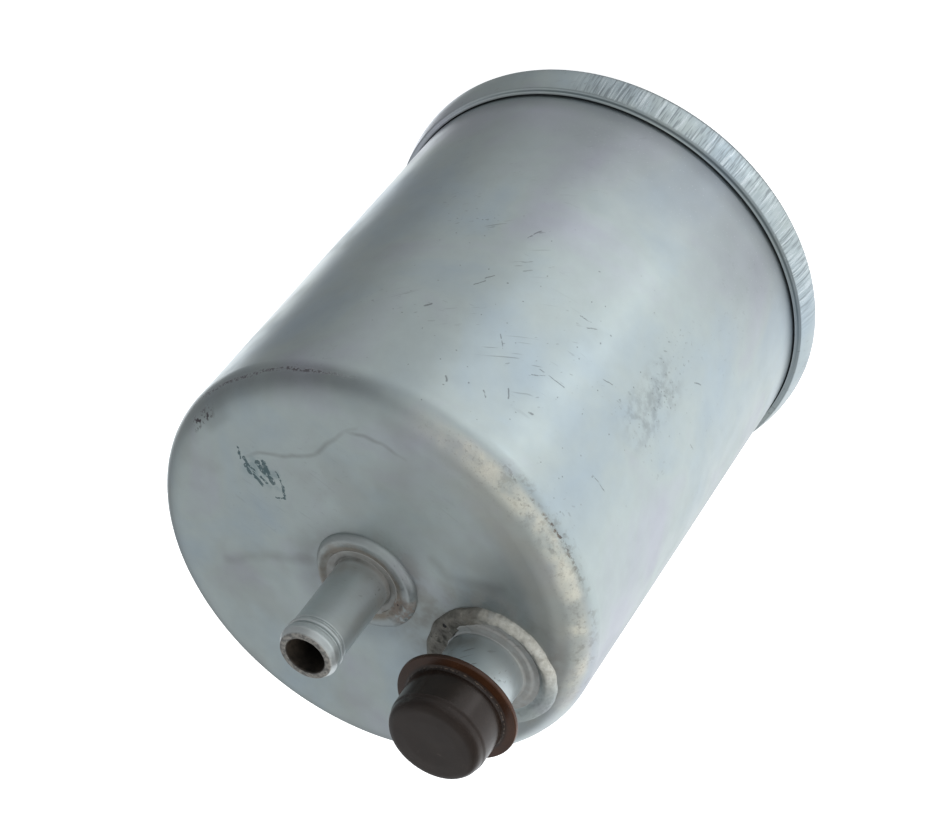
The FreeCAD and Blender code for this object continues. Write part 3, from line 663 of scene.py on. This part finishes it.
def outlet_weld_paint():
    """Smooth dull collar: tan scale inside, grey on top, pinkish patch and pits where the torch stopped."""
    mat = Paint("outlet_weld_paint")
    plated(mat)
    mat.cover((0.33, 0.345, 0.34), 0.5)
    lumps = mat.noise(1.3, 4.0, 0.6)
    cloudy = mat.patches(0.30, 0.66, 2.6, 3.0, 0.6)
    inside = mat.times(mat.fade(mat.radius, 8.2, 7.2), mat.level(cloudy, 0.55, 1.0))
    mat.cover((0.27, 0.225, 0.175), inside, 0.8)
    brown = mat.times(mat.sector(-70.0, 45.0, 40.0), mat.fade(mat.radius, 9.4, 8.4), cloudy)
    mat.cover((0.20, 0.185, 0.165), brown, 0.7)
    rear = mat.sector(180.0, 12.0, 18.0)
    patch = mat.times(rear, mat.fade(lumps, 0.36, 0.52))
    mat.cover((0.29, 0.24, 0.205), patch, 0.8)
    pits = mat.times(
        mat.fade(mat.cells(1.1, place=mat.warped(1.0, 0.5)), 0.15, 0.09), mat.fade(lumps, 0.48, 0.56),
        mat.most(rear, 0.5),
    )
    mat.cover(SPECK, pits, 0.9)
    # Painted shade: a dark ring on the weld right next to the tube, where the two meet.
    tube_gap_shade = mat.fade(mat.radius, OUTLET_RADIUS + 0.75, OUTLET_RADIUS + 0.2)
    mat.cover(GRIME, tube_gap_shade, 0.7)
    dull = mat.most(mat.times(inside, 0.7), patch, brown)
    mat.emboss(lumps, mat.level(rear, 0.5, 2.2))
    mat.emboss(pits, -1.5)
    return mat.finish(mat.level(dull, 0.42, 0.56), mat.level(dull, 0.88, 0.55), 0.08)


def inlet_weld_paint():
    """Rough light-tan bead with facets, and a brown-grey crater with one pinhole where it starts."""
    mat = Paint("inlet_weld_paint")
    plated(mat)
    plate = mat.colour
    bearing = mat.bearing_from(inlet_centre)
    radius = mat.distance_from(inlet_centre)
    facets = mat.cells(1.5, place=mat.warped(1.6, 0.5))
    lumps = mat.noise(1.1, 4.0, 0.65)
    mat.colour = mat.ramp(lumps, [(0.3, (0.30, 0.295, 0.26)), (0.55, (0.44, 0.44, 0.40)), (0.75, (0.53, 0.54, 0.52))])
    start = mat.sector(-16.0, 36.0, 34.0, bearing)
    dirt = mat.ramp(mat.noise(2.2, 4.0, 0.6), [(0.3, (0.085, 0.08, 0.068)), (0.7, (0.20, 0.19, 0.165))])
    mat.cover(dirt, start, 0.92)
    dip = mat.times(mat.fade(radius, 10.5, 9.8), mat.level(start, 0.75, 0.0))
    mat.cover((0.17, 0.19, 0.20), dip)
    specks = mat.times(
        mat.fade(mat.cells(0.9, place=mat.warped(0.9, 0.4)), 0.17, 0.10), mat.fade(lumps, 0.53, 0.62),
    )
    mat.cover(SPECK, specks, 0.75)
    blended = mat.sector(156.0, 26.0, 40.0, bearing)
    mat.cover(plate, blended, 0.8)
    # Painted shade: the pinhole is a black dot over a small dent in the relief, not a real hole.
    pinhole = mat.stroke(PINHOLE, (PINHOLE[0] + 0.1, PINHOLE[1], PINHOLE[2] - 0.4), 0.6)
    pinhole = mat.fade(pinhole, 0.30, 0.5)
    mat.cover((0.004, 0.004, 0.004), pinhole)
    mat.relief = mat.calc("MULTIPLY_ADD", facets, 1.6, mat.times(lumps, 1.6))
    mat.emboss(specks, -1.0)
    mat.emboss(pinhole, -3.0)
    metal = mat.level(blended, mat.level(start, 0.45, 0.6), 0.9)
    return mat.finish(mat.level(start, 0.50, 0.44), metal, 0.09)


def cap_paint():
    """Dark brown polyethylene, thinner and redder at the flange, with moulding marks and dust."""
    mat = Paint("cap_plastic")
    radius = mat.distance_from(inlet_centre)
    cloud = mat.noise(3.0, 4.0, 0.6)
    mat.colour = mat.ramp(cloud, [(0.3, (0.007, 0.0044, 0.0033)), (0.7, (0.012, 0.0084, 0.0064))])
    rim = mat.fade(radius, 8.8, 9.5)
    rust = mat.ramp(mat.noise(5.0, 2.0), [(0.3, (0.019, 0.0075, 0.0034)), (0.7, (0.038, 0.0145, 0.0060))])
    mat.cover(rust, rim)
    dust = mat.times(mat.patches(0.60, 0.74, 0.6, 4.0, 0.65), mat.patches(0.4, 0.6, 6.0, 2.0))
    mat.cover((0.18, 0.15, 0.13), dust, 0.10)
    flash = mat.times(mat.band(radius, 8.82, 0.03, 0.06), mat.patches(0.48, 0.58, 0.7, 3.0, 0.6))
    flash = mat.times(flash, mat.band(mat.height, cap_low.z + 1.2, 0.16, 0.14))
    mat.cover((0.15, 0.115, 0.09), flash, 0.4)
    rough = mat.level(mat.noise(2.0, 4.0, 0.6), 0.17, 0.28)
    grain = mat.noise(0.3, 3.0, 0.6)
    mat.relief = mat.calc("MULTIPLY_ADD", grain, 0.25, mat.noise(4.0, 2.0))
    return mat.finish(rough, 0.0, 0.05, IOR=1.5, Specular_IOR_Level=0.46, Specular_Tint=(1.0, 0.92, 0.88, 1.0))


def rubber_paint():
    mat = Paint("seal_rubber")
    mat.colour = mat.ramp(mat.noise(1.6, 4.0, 0.6), [(0.3, (0.012, 0.012, 0.013)), (0.7, (0.035, 0.034, 0.034))])
    bloom = mat.patches(0.5, 0.7, 5.0, 3.0)
    mat.cover((0.10, 0.10, 0.10), bloom, 0.3)
    mat.relief = mat.noise(0.4, 3.0)
    return mat.finish(mat.level(bloom, 0.5, 0.72), 0.0, 0.05)


def compound_paint():
    mat = Paint("seam_compound_paint")
    mat.colour = mat.ramp(mat.noise(0.8, 3.0, 0.6), [(0.3, (0.42, 0.30, 0.16)), (0.7, (0.60, 0.46, 0.27))])
    mat.relief = mat.noise(0.5, 3.0)
    return mat.finish(0.45, 0.0, 0.05)


def inner_steel_paint():
    """Tinned sheet of the element's end discs, tube, clip and spring pilots."""
    mat = Paint("tinned_sheet")
    spangle = mat.cells(2.4, place=mat.warped(3.0, 0.8))
    mat.colour = mat.ramp(spangle, [(0.1, (0.50, 0.51, 0.50)), (0.5, (0.62, 0.63, 0.62)), (0.9, (0.70, 0.71, 0.71))])
    oil = mat.patches(0.46, 0.64, 8.0, 3.0)
    mat.cover((0.45, 0.38, 0.26), oil, 0.35)
    marks = bench_marks(mat)
    mat.cover(GRIME, marks, 0.4)
    rough = mat.level(oil, 0.34, 0.22)
    mat.relief = mat.calc("MULTIPLY_ADD", marks, -0.5, mat.times(mat.noise(0.5, 3.0), 0.4))
    return mat.finish(rough, 0.95, 0.04)


def potting_paint():
    mat = Paint("potting_resin")
    flow = mat.noise(4.0, 4.0, 0.6, bend=1.2)
    mat.colour = mat.ramp(flow, [(0.3, (0.36, 0.13, 0.035)), (0.7, (0.56, 0.26, 0.09))])
    bubbles = mat.fade(mat.cells(1.3), 0.20, 0.10)
    mat.cover((0.18, 0.06, 0.02), bubbles, 0.5)
    mat.relief = mat.calc("MULTIPLY_ADD", bubbles, -0.8, flow)
    return mat.finish(0.30, 0.0, 0.10, Coat_Weight=0.3)


def paper_paint():
    """Resin-treated filter paper: cream fibre with embossed rows and darker fuel stain below."""
    mat = Paint("filter_paper")
    fibre = mat.noise(0.5, 5.0, 0.75, place=mat.move("MULTIPLY", mat.place, (1.0, 1.0, 0.35)))
    mat.colour = mat.ramp(fibre, [(0.25, (0.62, 0.50, 0.28)), (0.75, (0.82, 0.72, 0.48))])
    stain = mat.times(mat.fade(mat.height, 70.0, 20.0), mat.level(mat.noise(9.0, 3.0), 0.5, 1.0))
    mat.cover((0.40, 0.27, 0.11), stain, 0.45)
    wave = mat.calc("SINE", mat.times(mat.height, math.tau / 2.4))
    mat.relief = mat.calc("MULTIPLY_ADD", wave, 0.5, fibre)
    return mat.finish(0.85, 0.0, 0.10, Sheen_Weight=0.2)


def board_paint():
    mat = Paint("wrap_board")
    fibre = mat.noise(0.9, 5.0, 0.75, place=mat.move("MULTIPLY", mat.place, (1.0, 1.0, 0.2)))
    mat.colour = mat.ramp(fibre, [(0.25, (0.30, 0.21, 0.12)), (0.75, (0.48, 0.36, 0.22))])
    mat.relief = fibre
    return mat.finish(0.8, 0.0, 0.06, Sheen_Weight=0.2)


def spring_paint():
    mat = Paint("spring_steel")
    mat.colour = mat.ramp(mat.noise(2.0, 3.0), [(0.3, (0.20, 0.20, 0.21)), (0.7, (0.36, 0.36, 0.37))])
    mat.relief = mat.noise(0.25, 3.0, 0.6)
    return mat.finish(mat.level(mat.relief, 0.26, 0.42), 0.95, 0.03)


# ---- pieces


def make_can():
    """Drawn can: closed end with a rounded shoulder, wall, squeezed neck and outward hook."""
    hole = OUTLET_RADIUS + 0.02
    roof = end_height - CAN_WALL
    foot = can_low.z
    inner = can_radius - CAN_WALL
    neck_inner = neck_radius - CAN_WALL
    neck_top = RING_HEIGHT + 1.0
    hook_top = 4.3
    points = outline([
        (hole, roof, 0.1), (inner, roof, SHOULDER_ROUND - CAN_WALL), (inner, neck_top, 1.0),
        (neck_inner, RING_HEIGHT, 1.0), (neck_inner, foot, 0.3), (hook_radius, foot, 0.3),
        (hook_radius, hook_top, 0.2), (hook_radius - CAN_WALL, hook_top, 0.2),
        (hook_radius - CAN_WALL, foot + CAN_WALL, 0.3), (neck_radius, foot + CAN_WALL, 0.3),
        (neck_radius, RING_HEIGHT, 1.0), (can_radius, neck_top, 1.0), (can_radius, end_height, SHOULDER_ROUND),
        (hole, end_height, 0.1),
    ], pitch=1.6)
    shoulder = end_height - SHOULDER_ROUND

    def shape(radius, angle, height):
        """Slow waves of the drawn wall, a slight swell under the shoulder and a nearly flat end."""
        wall = part_way(height, 9.0, 12.0) * part_way(radius, 30.0, 8.0)
        wave = drift(angle, height, 3.0, 1.6, 0.02) * 0.10 + drift(angle, height, 9.0, 4.0, 0.05) * 0.025
        swell = bump_of(height - shoulder, 2.2) * (0.06 + 0.06 * drift(angle, 0.0, 5.0, 1.5, 0.0))
        end = part_way(height, shoulder, SHOULDER_ROUND)
        spot = Vector((radius * math.cos(angle), radius * math.sin(angle), 4.0)) * 0.055
        dish = (noise.noise(spot) - 0.6) * 0.09 * end * part_way(36.0, radius, 10.0)
        return radius + (wave + swell) * wall, height + dish

    piece = turned("drawn_can", points, 720, shape=shape)
    cutter = turned("inlet_hole_cutter", outline([
        (0.0, roof - 3.0, 0.0), (INLET_RADIUS + 0.02, roof - 3.0, 0.0), (INLET_RADIUS + 0.02, end_height + 3.0, 0.0),
        (0.0, end_height + 3.0, 0.0),
    ], pitch=20.0), 96, centre=inlet_centre)
    cut = piece.modifiers.new("inlet_hole", "BOOLEAN")
    cut.object = cutter
    cut.operation = "DIFFERENCE"
    cut.solver = "EXACT"
    graph = bpy.context.evaluated_depsgraph_get()
    bored = bpy.data.meshes.new_from_object(piece.evaluated_get(graph))
    piece.modifiers.clear()
    piece.data = bored
    piece.data.materials.clear()
    bpy.data.objects.remove(cutter)
    piece.data.shade_smooth()
    return stand_for(piece, can_paint(), "can_shell", "canister")


def roller_marks():
    """Bearing, width in degrees and depth of the dents that the seaming roll left in the ring's band."""
    draw = random.Random(11)
    marks = [(-61.8, 0.16, 0.05), (27.0, 0.2, 0.04), (24.0, 0.3, 0.03)]
    for start, end, gap in ((-64.6, -67.6, 0.55), (-69.4, -73.6, 0.8), (-77.6, -88.5, 0.95), (-89.0, -146.0, 1.0)):
        bearing = start
        while bearing > end:
            marks.append((bearing, draw.uniform(0.13, 0.28), draw.uniform(0.012, 0.045)))
            bearing -= gap * draw.uniform(0.55, 1.5)
    for _ in range(50):
        marks.append((draw.uniform(-140.0, 300.0), draw.uniform(0.2, 0.6), draw.uniform(0.003, 0.014)))
    return marks


def make_lid():
    """Lid: beaded panel, countersink, chuck wall, and the rolled ring that grips the can's hook."""
    panel = 4.2
    bead_foot = lid_low.z + 3.0
    channel = 35.45
    channel_roof = lid_high.z
    chuck = 38.45
    shoulder = 4.9
    slope_top = 5.5
    lip = band_radius - 0.8
    taper_foot = 2.9
    cover = neck_radius + LAYER_GAP
    bead_inner, bead_outer = 20.0, 25.0
    points = outline([
        (0.0, panel, 0.0), (bead_inner, panel, 0.9), (bead_inner, bead_foot, 0.55), (bead_outer, bead_foot, 0.55),
        (bead_outer, panel, 0.9), (channel, panel, 0.9), (channel, channel_roof - LID_WALL, 0.6),
        (chuck, channel_roof - LID_WALL, 0.6), (chuck, 0.0, 0.6), (band_radius, 0.0, 1.5),
        (band_radius, taper_foot, 9.0), (lip, RING_HEIGHT - 0.1, 0.42), (lip - 0.9, RING_HEIGHT - 0.12, 0.5),
        (cover + 0.35, RING_HEIGHT, 0.1), (cover, RING_HEIGHT - 0.2, 0.15), (cover, 2.05, 0.2),
        (cover + LID_WALL, 2.05, 0.2), (cover + LID_WALL, RING_HEIGHT - LID_WALL, 0.1),
        (lip - LID_WALL, RING_HEIGHT - LID_WALL * 1.3, 0.1), (lip - LID_WALL, slope_top - 0.1, 0.15),
        (band_radius - LID_WALL, shoulder, 0.2), (band_radius - LID_WALL, LID_WALL, 0.3),
        (chuck + LID_WALL, LID_WALL, 0.15), (chuck + LID_WALL, channel_roof, 0.9),
        (channel - LID_WALL, channel_roof, 0.9), (channel - LID_WALL, panel + LID_WALL, 0.5),
        (bead_outer - LID_WALL, panel + LID_WALL, 0.4), (bead_outer - LID_WALL, bead_foot + LID_WALL, 0.25),
        (bead_inner + LID_WALL, bead_foot + LID_WALL, 0.25), (bead_inner + LID_WALL, panel + LID_WALL, 0.4),
        (0.0, panel + LID_WALL, 0.0),
    ], pitch=1.1)
    marks = roller_marks()

    def dents(angle):
        total = 0.0
        for bearing, width, depth in marks:
            off = abs(angle_from(angle, bearing))
            if off < width * 3:
                total += depth * bump_of(off, width)
        return total

    segments = 1440
    dent_at = [dents(2 * math.pi * spot / segments) for spot in range(segments)]

    def shape(radius, angle, height):
        """The roll's dents on the band, and a slightly uneven lip. Nothing grows outwards."""
        spot = round(angle / (2 * math.pi) * segments) % segments
        band = part_way(radius, 41.1, 0.15) * min(1.0, bump_of(height - 3.9, 2.4) * 1.5)
        rim = part_way(radius, 39.9, 0.5) * part_way(height, 5.6, 0.6)
        uneven = (drift(angle, 0.0, 7.0, 5.0, 0.0) - 0.6) * 0.07 + (drift(angle, 0.0, 2.0, 22.0, 0.0) - 0.6) * 0.025
        return radius - band * dent_at[spot] + rim * uneven, height + rim * uneven * 0.6

    piece = turned("seamed_lid", points, segments, shape=shape)
    return stand_for(piece, lid_paint(), "base_lid", "canister")


def make_outlet():
    """Outlet spigot: inner stub, sunken base flange, hose barb with two grooves, bead and rolled mouth."""
    mouth = outlet_high.z
    bead_top = mouth - 0.9
    bead_foot = bead_top - 1.6
    ridge_top = bead_foot - 0.5
    ridge_foot = ridge_top - 0.8
    groove_foot = ridge_foot - 0.5
    groove = OUTLET_RADIUS - 0.3
    bead = OUTLET_RADIUS + 0.25
    flange = outlet_high.x
    points = outline([
        (OUTLET_BORE, outlet_low.z, 0.3), (OUTLET_RADIUS, outlet_low.z, 0.3), (OUTLET_RADIUS, end_height, 0.0),
        (flange, end_height, 0.05), (flange, end_height + 0.5, 0.12), (OUTLET_RADIUS + 0.45, end_height + 0.28, 0.3),
        (OUTLET_RADIUS + 0.06, end_height + 0.12, 0.03), (OUTLET_RADIUS, end_height + 0.3, 0.1),
        (OUTLET_RADIUS, groove_foot, 0.2), (groove, groove_foot + 0.1, 0.16), (groove, ridge_foot, 0.16),
        (bead - 0.02, ridge_foot + 0.05, 0.34), (bead - 0.02, ridge_top, 0.34), (groove, ridge_top + 0.05, 0.16),
        (groove, bead_foot, 0.16), (bead, bead_foot + 0.05, 0.35), (bead, bead_top - 0.3, 0.9),
        (OUTLET_RADIUS - 0.35, mouth - 0.1, 0.22), (OUTLET_RADIUS - 0.75, mouth, 0.2),
        (OUTLET_BORE, mouth - 0.05, 0.3),
    ], pitch=0.9)

    def shape(radius, angle, height):
        out = part_way(height, end_height + 2.0, 3.0)
        wobble = drift(angle, height, 1.0, 1.2, 0.10) * 0.035 + drift(angle, height, 6.0, 6.0, 0.7) * 0.012
        return radius + (wobble - 0.03) * out, height - out * 0.02 * (1 + drift(angle, 0.0, 4.0, 2.0, 0.0))

    piece = turned("outlet_tube", points, 288, shape=shape)
    material = spigot_paint("outlet_tube_paint", (0.0, 0.0), OUTLET_BORE, (0.53, 0.57, 0.57))
    return stand_for(piece, material, "outlet_spigot", "canister")


def make_inlet():
    """Inlet spigot: larger plain tube with a sunken base flange and a chamfered mouth."""
    mouth = inlet_high.z
    flange = inlet_high.y
    points = outline([
        (INLET_BORE, inlet_low.z, 0.3), (INLET_RADIUS, inlet_low.z, 0.3), (INLET_RADIUS, end_height, 0.0),
        (flange, end_height, 0.05), (flange, end_height + 0.22, 0.1), (INLET_RADIUS + 1.7, end_height + 0.25, 0.5),
        (INLET_RADIUS + 1.25, end_height + 0.62, 0.45), (INLET_RADIUS + 0.35, end_height + 0.66, 0.3),
        (INLET_RADIUS, end_height + 0.85, 0.2), (INLET_RADIUS, mouth - 0.4, 0.25), (INLET_RADIUS - 0.4, mouth, 0.25),
        (INLET_BORE, mouth, 0.3),
    ], pitch=0.9)

    def shape(radius, angle, height):
        out = part_way(height, end_height + 1.0, 2.0)
        wobble = drift(angle, height, 11.0, 1.2, 0.08) * 0.02 - 0.02
        return radius + wobble * out, height

    piece = turned("inlet_tube", points, 288, centre=inlet_centre, shape=shape)
    material = spigot_paint("inlet_tube_paint", inlet_centre, INLET_BORE, (0.58, 0.66, 0.70))
    return stand_for(piece, material, "inlet_spigot", "canister")


def can_surface(radius):
    """Height of the can's closed end at a distance from its axis."""
    past = radius - (can_radius - SHOULDER_ROUND)
    if past <= 0:
        return end_height
    past = min(past, SHOULDER_ROUND)
    return end_height - SHOULDER_ROUND + math.sqrt(SHOULDER_ROUND ** 2 - past ** 2)


def ease(value):
    """Smooth step of a share that is held between 0 and 1."""
    share = max(0.0, min(1.0, value))
    return share * share * (3 - 2 * share)


def make_weld(name, node, centre, reach, crest, form, material):
    """Weld ring round a base flange. Its underside is sunk into the can and follows the rounded end.

    form(angle) gives the ring's inner and outer radius, the radius and height of its crest, its height at the
    inner edge, how steeply the outside falls (0 to 1) and how lumpy it is.
    """
    steps = 30
    points = [Vector((1 + step / steps, 1.0)) for step in range(steps + 1)]
    points += [Vector((2.0, 0.0)), Vector((1.5, 0.0)), Vector((1.0, 0.0))]

    def shape(share, angle, side):
        inner, outer, peak_radius, peak, inner_rise, steep, lumpy = form(angle)
        radius = inner + (outer - inner) * (share - 1)
        if radius < peak_radius:
            rise = inner_rise + (peak - inner_rise) * ease((radius - inner) / (peak_radius - inner))
        else:
            past = (radius - peak_radius) / (outer - peak_radius)
            round_side = math.sqrt(max(0.0, 1 - past * past))
            rise = peak * (steep * round_side + (1 - steep) * (1 - ease(past)))
        across = radius * math.cos(angle)
        along = radius * math.sin(angle)
        coarse = noise.noise(Vector((across * 0.55, along * 0.55, reach)))
        fine = noise.noise(Vector((across * 1.7, along * 1.7, reach + 5.0)))
        crown = min(1.0, rise / 0.35)
        rise += crown * lumpy * (0.34 * coarse + 0.13 * fine)
        top = min(rise, crest) - 0.03
        sunk = -0.5
        height = top if side > 0.5 else sunk
        return radius, height + can_surface(math.hypot(centre[0] + across, centre[1] + along))

    piece = turned(name, points, 420, centre=centre, shape=shape)
    return stand_for(piece, material, node, "canister")


def outlet_weld_form(angle):
    """Dished collar: full on the -X side, narrow on the +X side, patchy where it stops."""
    narrow = bump_of(angle_from(angle, 28.0), 48.0)
    stop = bump_of(angle_from(angle, 172.0), 26.0)
    low_side = bump_of(angle_from(angle, 112.0), 44.0)
    crest = outlet_weld_high.z - end_height
    uneven = drift(angle, 0.0, 20.0, 2.5, 0.0) * 0.12
    outer = outlet_weld_high.x - 0.12 - 1.7 * narrow - 0.7 * low_side + uneven
    peak = crest * (0.96 - 0.20 * narrow) * (1 - 0.35 * stop) * (1 - 0.45 * low_side)
    inner = outlet_high.x - 0.3
    return inner, outer, outer - 1.0 + 0.3 * narrow, peak, 0.36 + 0.2 * stop, 0.65, 0.16 + 1.3 * stop


def inlet_weld_form(angle):
    """Rough bead, widest towards the can's edge, that starts in a low crater and fades away on the far side."""
    start = bump_of(angle_from(angle, 0.0), 54.0)
    fade = bump_of(angle_from(angle, 150.0), 52.0)
    crest = inlet_weld_high.z - end_height
    uneven = drift(angle, 0.0, 40.0, 4.0, 0.0) * 0.28
    inner = inlet_high.y - 0.1 - 2.45 * start
    outer = inlet_weld_high.y - 0.25 - 1.7 * start + uneven
    peak_radius = 11.2 - 1.9 * start + uneven
    peak = crest * (0.86 - 0.22 * start - 0.5 * fade)
    return inner, outer, peak_radius, peak, 0.12 + 0.72 * start, 0.85 - 0.3 * start, 0.5 + 0.4 * start


def make_cap():
    """Pull-off cap: blind bore, tapered body, rolled top edge, thin flange with a trace of mould flash."""
    foot = cap_low.z
    top = cap_high.z
    flange = cap_high.y
    flange_face = foot + 1.1
    bore = INLET_RADIUS + 0.04
    base = bore + 1.66
    crown = bore + 1.06
    roof = inlet_high.z
    points = outline([
        (bore, foot, 0.15), (flange, foot, 0.30), (flange - 0.12, flange_face - 0.25, 0.25),
        (base + 0.45, flange_face - 0.05, 0.4), (base + 0.05, flange_face + 0.12, 0.12),
        (base - 0.06, flange_face + 0.55, 0.3), (base - 0.18, top - 2.5, 0.9), (crown + 0.22, top - 2.0, 0.8),
        (crown - 0.15, top - 0.1, 1.7), (4.6, top, 6.0), (0.0, top - 0.1, 0.0), (0.0, roof, 0.0), (bore, roof, 0.2),
    ], pitch=0.7)

    def shape(radius, angle, height):
        edge = part_way(radius, base, 1.5)
        flash = bump_of(height - flange_face - 0.15, 0.16) * bump_of(radius - base, 0.3)
        ragged = max(0.0, drift(angle, 0.0, 3.0, 14.0, 0.0)) * 0.16 * flash
        outer = part_way(radius, bore + 0.3, 0.5)
        wave = drift(angle, height, 2.0, 1.5, 0.15) * 0.05 * outer * (1 - edge)
        return min(radius + wave + ragged, flange), height

    piece = turned("pull_cap", points, 320, centre=inlet_centre, shape=shape)
    return stand_for(piece, cap_paint(), "inlet_cap", "cap")


def dress(nodes, material):
    """Gives CAD nodes that stay as they are their material."""
    for node in nodes:
        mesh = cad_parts[node].data
        mesh.materials.clear()
        mesh.materials.append(material)


def make_pieces():
    make_can()
    make_lid()
    make_outlet()
    make_inlet()
    make_weld(
        "outlet_weld_ring", "outlet_weld", (0.0, 0.0), outlet_weld_high.x, outlet_weld_high.z - end_height,
        outlet_weld_form, outlet_weld_paint(),
    )
    make_weld(
        "inlet_weld_ring", "inlet_weld", inlet_centre, inlet_weld_high.y, inlet_weld_high.z - end_height,
        inlet_weld_form, inlet_weld_paint(),
    )
    make_cap()
    dress(["seam_compound"], compound_paint())
    dress(["outlet_seal"], rubber_paint())
    dress(
        ["upper_end_disc", "lower_end_disc", "centre_tube", "pleat_clip", "spring_pilot", "spring_seat"],
        inner_steel_paint(),
    )
    dress(["upper_potting", "lower_potting"], potting_paint())
    dress(["pleated_media"], paper_paint())
    dress(["outer_wrap"], board_paint())
    dress(["support_spring"], spring_paint())


# ---- floor, light, camera


def make_floor():
    mesh = bpy.data.meshes.new("floor")
    half = 3.0
    mesh.from_pydata([(-half, -half, 0), (half, -half, 0), (half, half, 0), (-half, half, 0)], [], [(0, 1, 2, 3)])
    floor = bpy.data.objects.new("floor", mesh)
    bpy.context.scene.collection.objects.link(floor)
    floor.location.z = -0.00005
    floor.visible_glossy = False
    mat = Paint("pale_floor")
    mat.colour = mat.ramp(mat.noise(220.0, 2.0), [(0.3, (0.88, 0.88, 0.88)), (0.7, (0.91, 0.91, 0.91))])
    mesh.materials.append(mat.finish(0.7, 0.0, 0.0, Emission_Color=(1.0, 1.0, 1.0, 1.0), Emission_Strength=0.75))


STUDIO_GREY = 0.27  # radiance away from the patches
STUDIO = [
    # bearing, elevation, half width of the bright patch, width of its soft edge, radiance
    (-108.0, -36.0, 14.0, 40.0, 0.98),
    (-150.0, -34.0, 12.0, 40.0, 1.00),
    (168.0, -34.0, 12.0, 36.0, 1.06),
    (133.0, -34.0, 14.0, 34.0, 1.06),
    (64.0, -38.0, 4.0, 15.0, 1.65),
    (-58.0, -40.0, 8.0, 40.0, 0.55),
    (-117.0, -38.0, 3.0, 9.0, 1.70),
    (-97.0, 2.0, 10.0, 44.0, 0.64),
    (-140.0, -2.0, 10.0, 36.0, 0.52),
    (152.0, -6.0, 10.0, 34.0, 0.48),
    (0.0, 90.0, 12.0, 60.0, 0.46),
    (80.0, 42.0, 14.0, 40.0, 0.54),
]


def direction(bearing, elevation):
    turn, rise = math.radians(bearing), math.radians(elevation)
    return (math.cos(turn) * math.cos(rise), math.sin(turn) * math.cos(rise), math.sin(rise))


def make_world():
    """Soft studio surroundings: pale to the camera, and bright patches on grey for what the metal mirrors."""
    world = bpy.data.worlds.new("studio")
    bpy.context.scene.world = world
    world.use_nodes = True
    graph = Graph(world.node_tree)
    heading = graph.node("ShaderNodeTexCoord", {}).outputs["Generated"]
    patches = []
    for bearing, elevation, half, soft, radiance in STUDIO:
        facing = graph.move("DOT_PRODUCT", heading, direction(bearing, elevation))
        dim, bright = math.cos(math.radians(half + soft)), math.cos(math.radians(half))
        patches.append(graph.fade(facing, dim, bright, STUDIO_GREY, radiance))
    mirrored = graph.node("ShaderNodeBackground", {"Color": (0.97, 1.0, 1.03), "Strength": graph.most(*patches)})
    backdrop = graph.node("ShaderNodeBackground", {"Color": (0.90, 0.905, 0.91)})
    seen = graph.node("ShaderNodeLightPath", {}).outputs["Is Camera Ray"]
    mix = graph.node("ShaderNodeMixShader", {0: seen, 1: mirrored.outputs[0], 2: backdrop.outputs[0]})
    graph.node("ShaderNodeOutputWorld", {"Surface": mix.outputs[0]})


def make_lamps():
    """Soft disks that light what is matt and that the metal doesn't mirror."""
    middle = (cad_low + cad_high) / 2
    for name, place, size, power, colour in (
        ("key", (-0.80, -0.30, 0.50), 0.7, 12.0, (1.0, 0.99, 0.97)),
        ("fill", (0.7, 0.2, 0.8), 0.9, 3.0, (0.95, 0.98, 1.0)),
    ):
        data = bpy.data.lights.new(name, "AREA")
        data.shape, data.size, data.energy, data.color = "DISK", size, power, colour
        lamp = bpy.data.objects.new(name, data)
        lamp.location = place
        lamp.rotation_euler = (middle - Vector(place)).to_track_quat("-Z", "Y").to_euler()
        lamp.visible_glossy = False
        bpy.context.scene.collection.objects.link(lamp)


def make_camera():
    """Long lens from above and beside the spigots, rolled so that the can leans across the frame."""
    place = Vector((-0.04009, -0.35261, 0.37843))
    forward = Vector((0.0904, 0.7320, -0.6753)).normalized()
    right = Vector((-0.8336, -0.3154, -0.4534))
    right = (right - forward * right.dot(forward)).normalized()
    up = right.cross(forward)
    data = bpy.data.cameras.new("camera")
    data.lens = 107.67
    data.sensor_width = 36.0
    data.clip_start = 0.01
    camera = bpy.data.objects.new("camera", data)
    camera.matrix_world = Matrix.Translation(place) @ Matrix((right, up, -forward)).transposed().to_4x4()
    bpy.context.scene.collection.objects.link(camera)
    bpy.context.scene.camera = camera


make_pieces()
make_floor()
make_world()
make_lamps()
make_camera()
bpy.context.scene.view_settings.view_transform = "Standard"
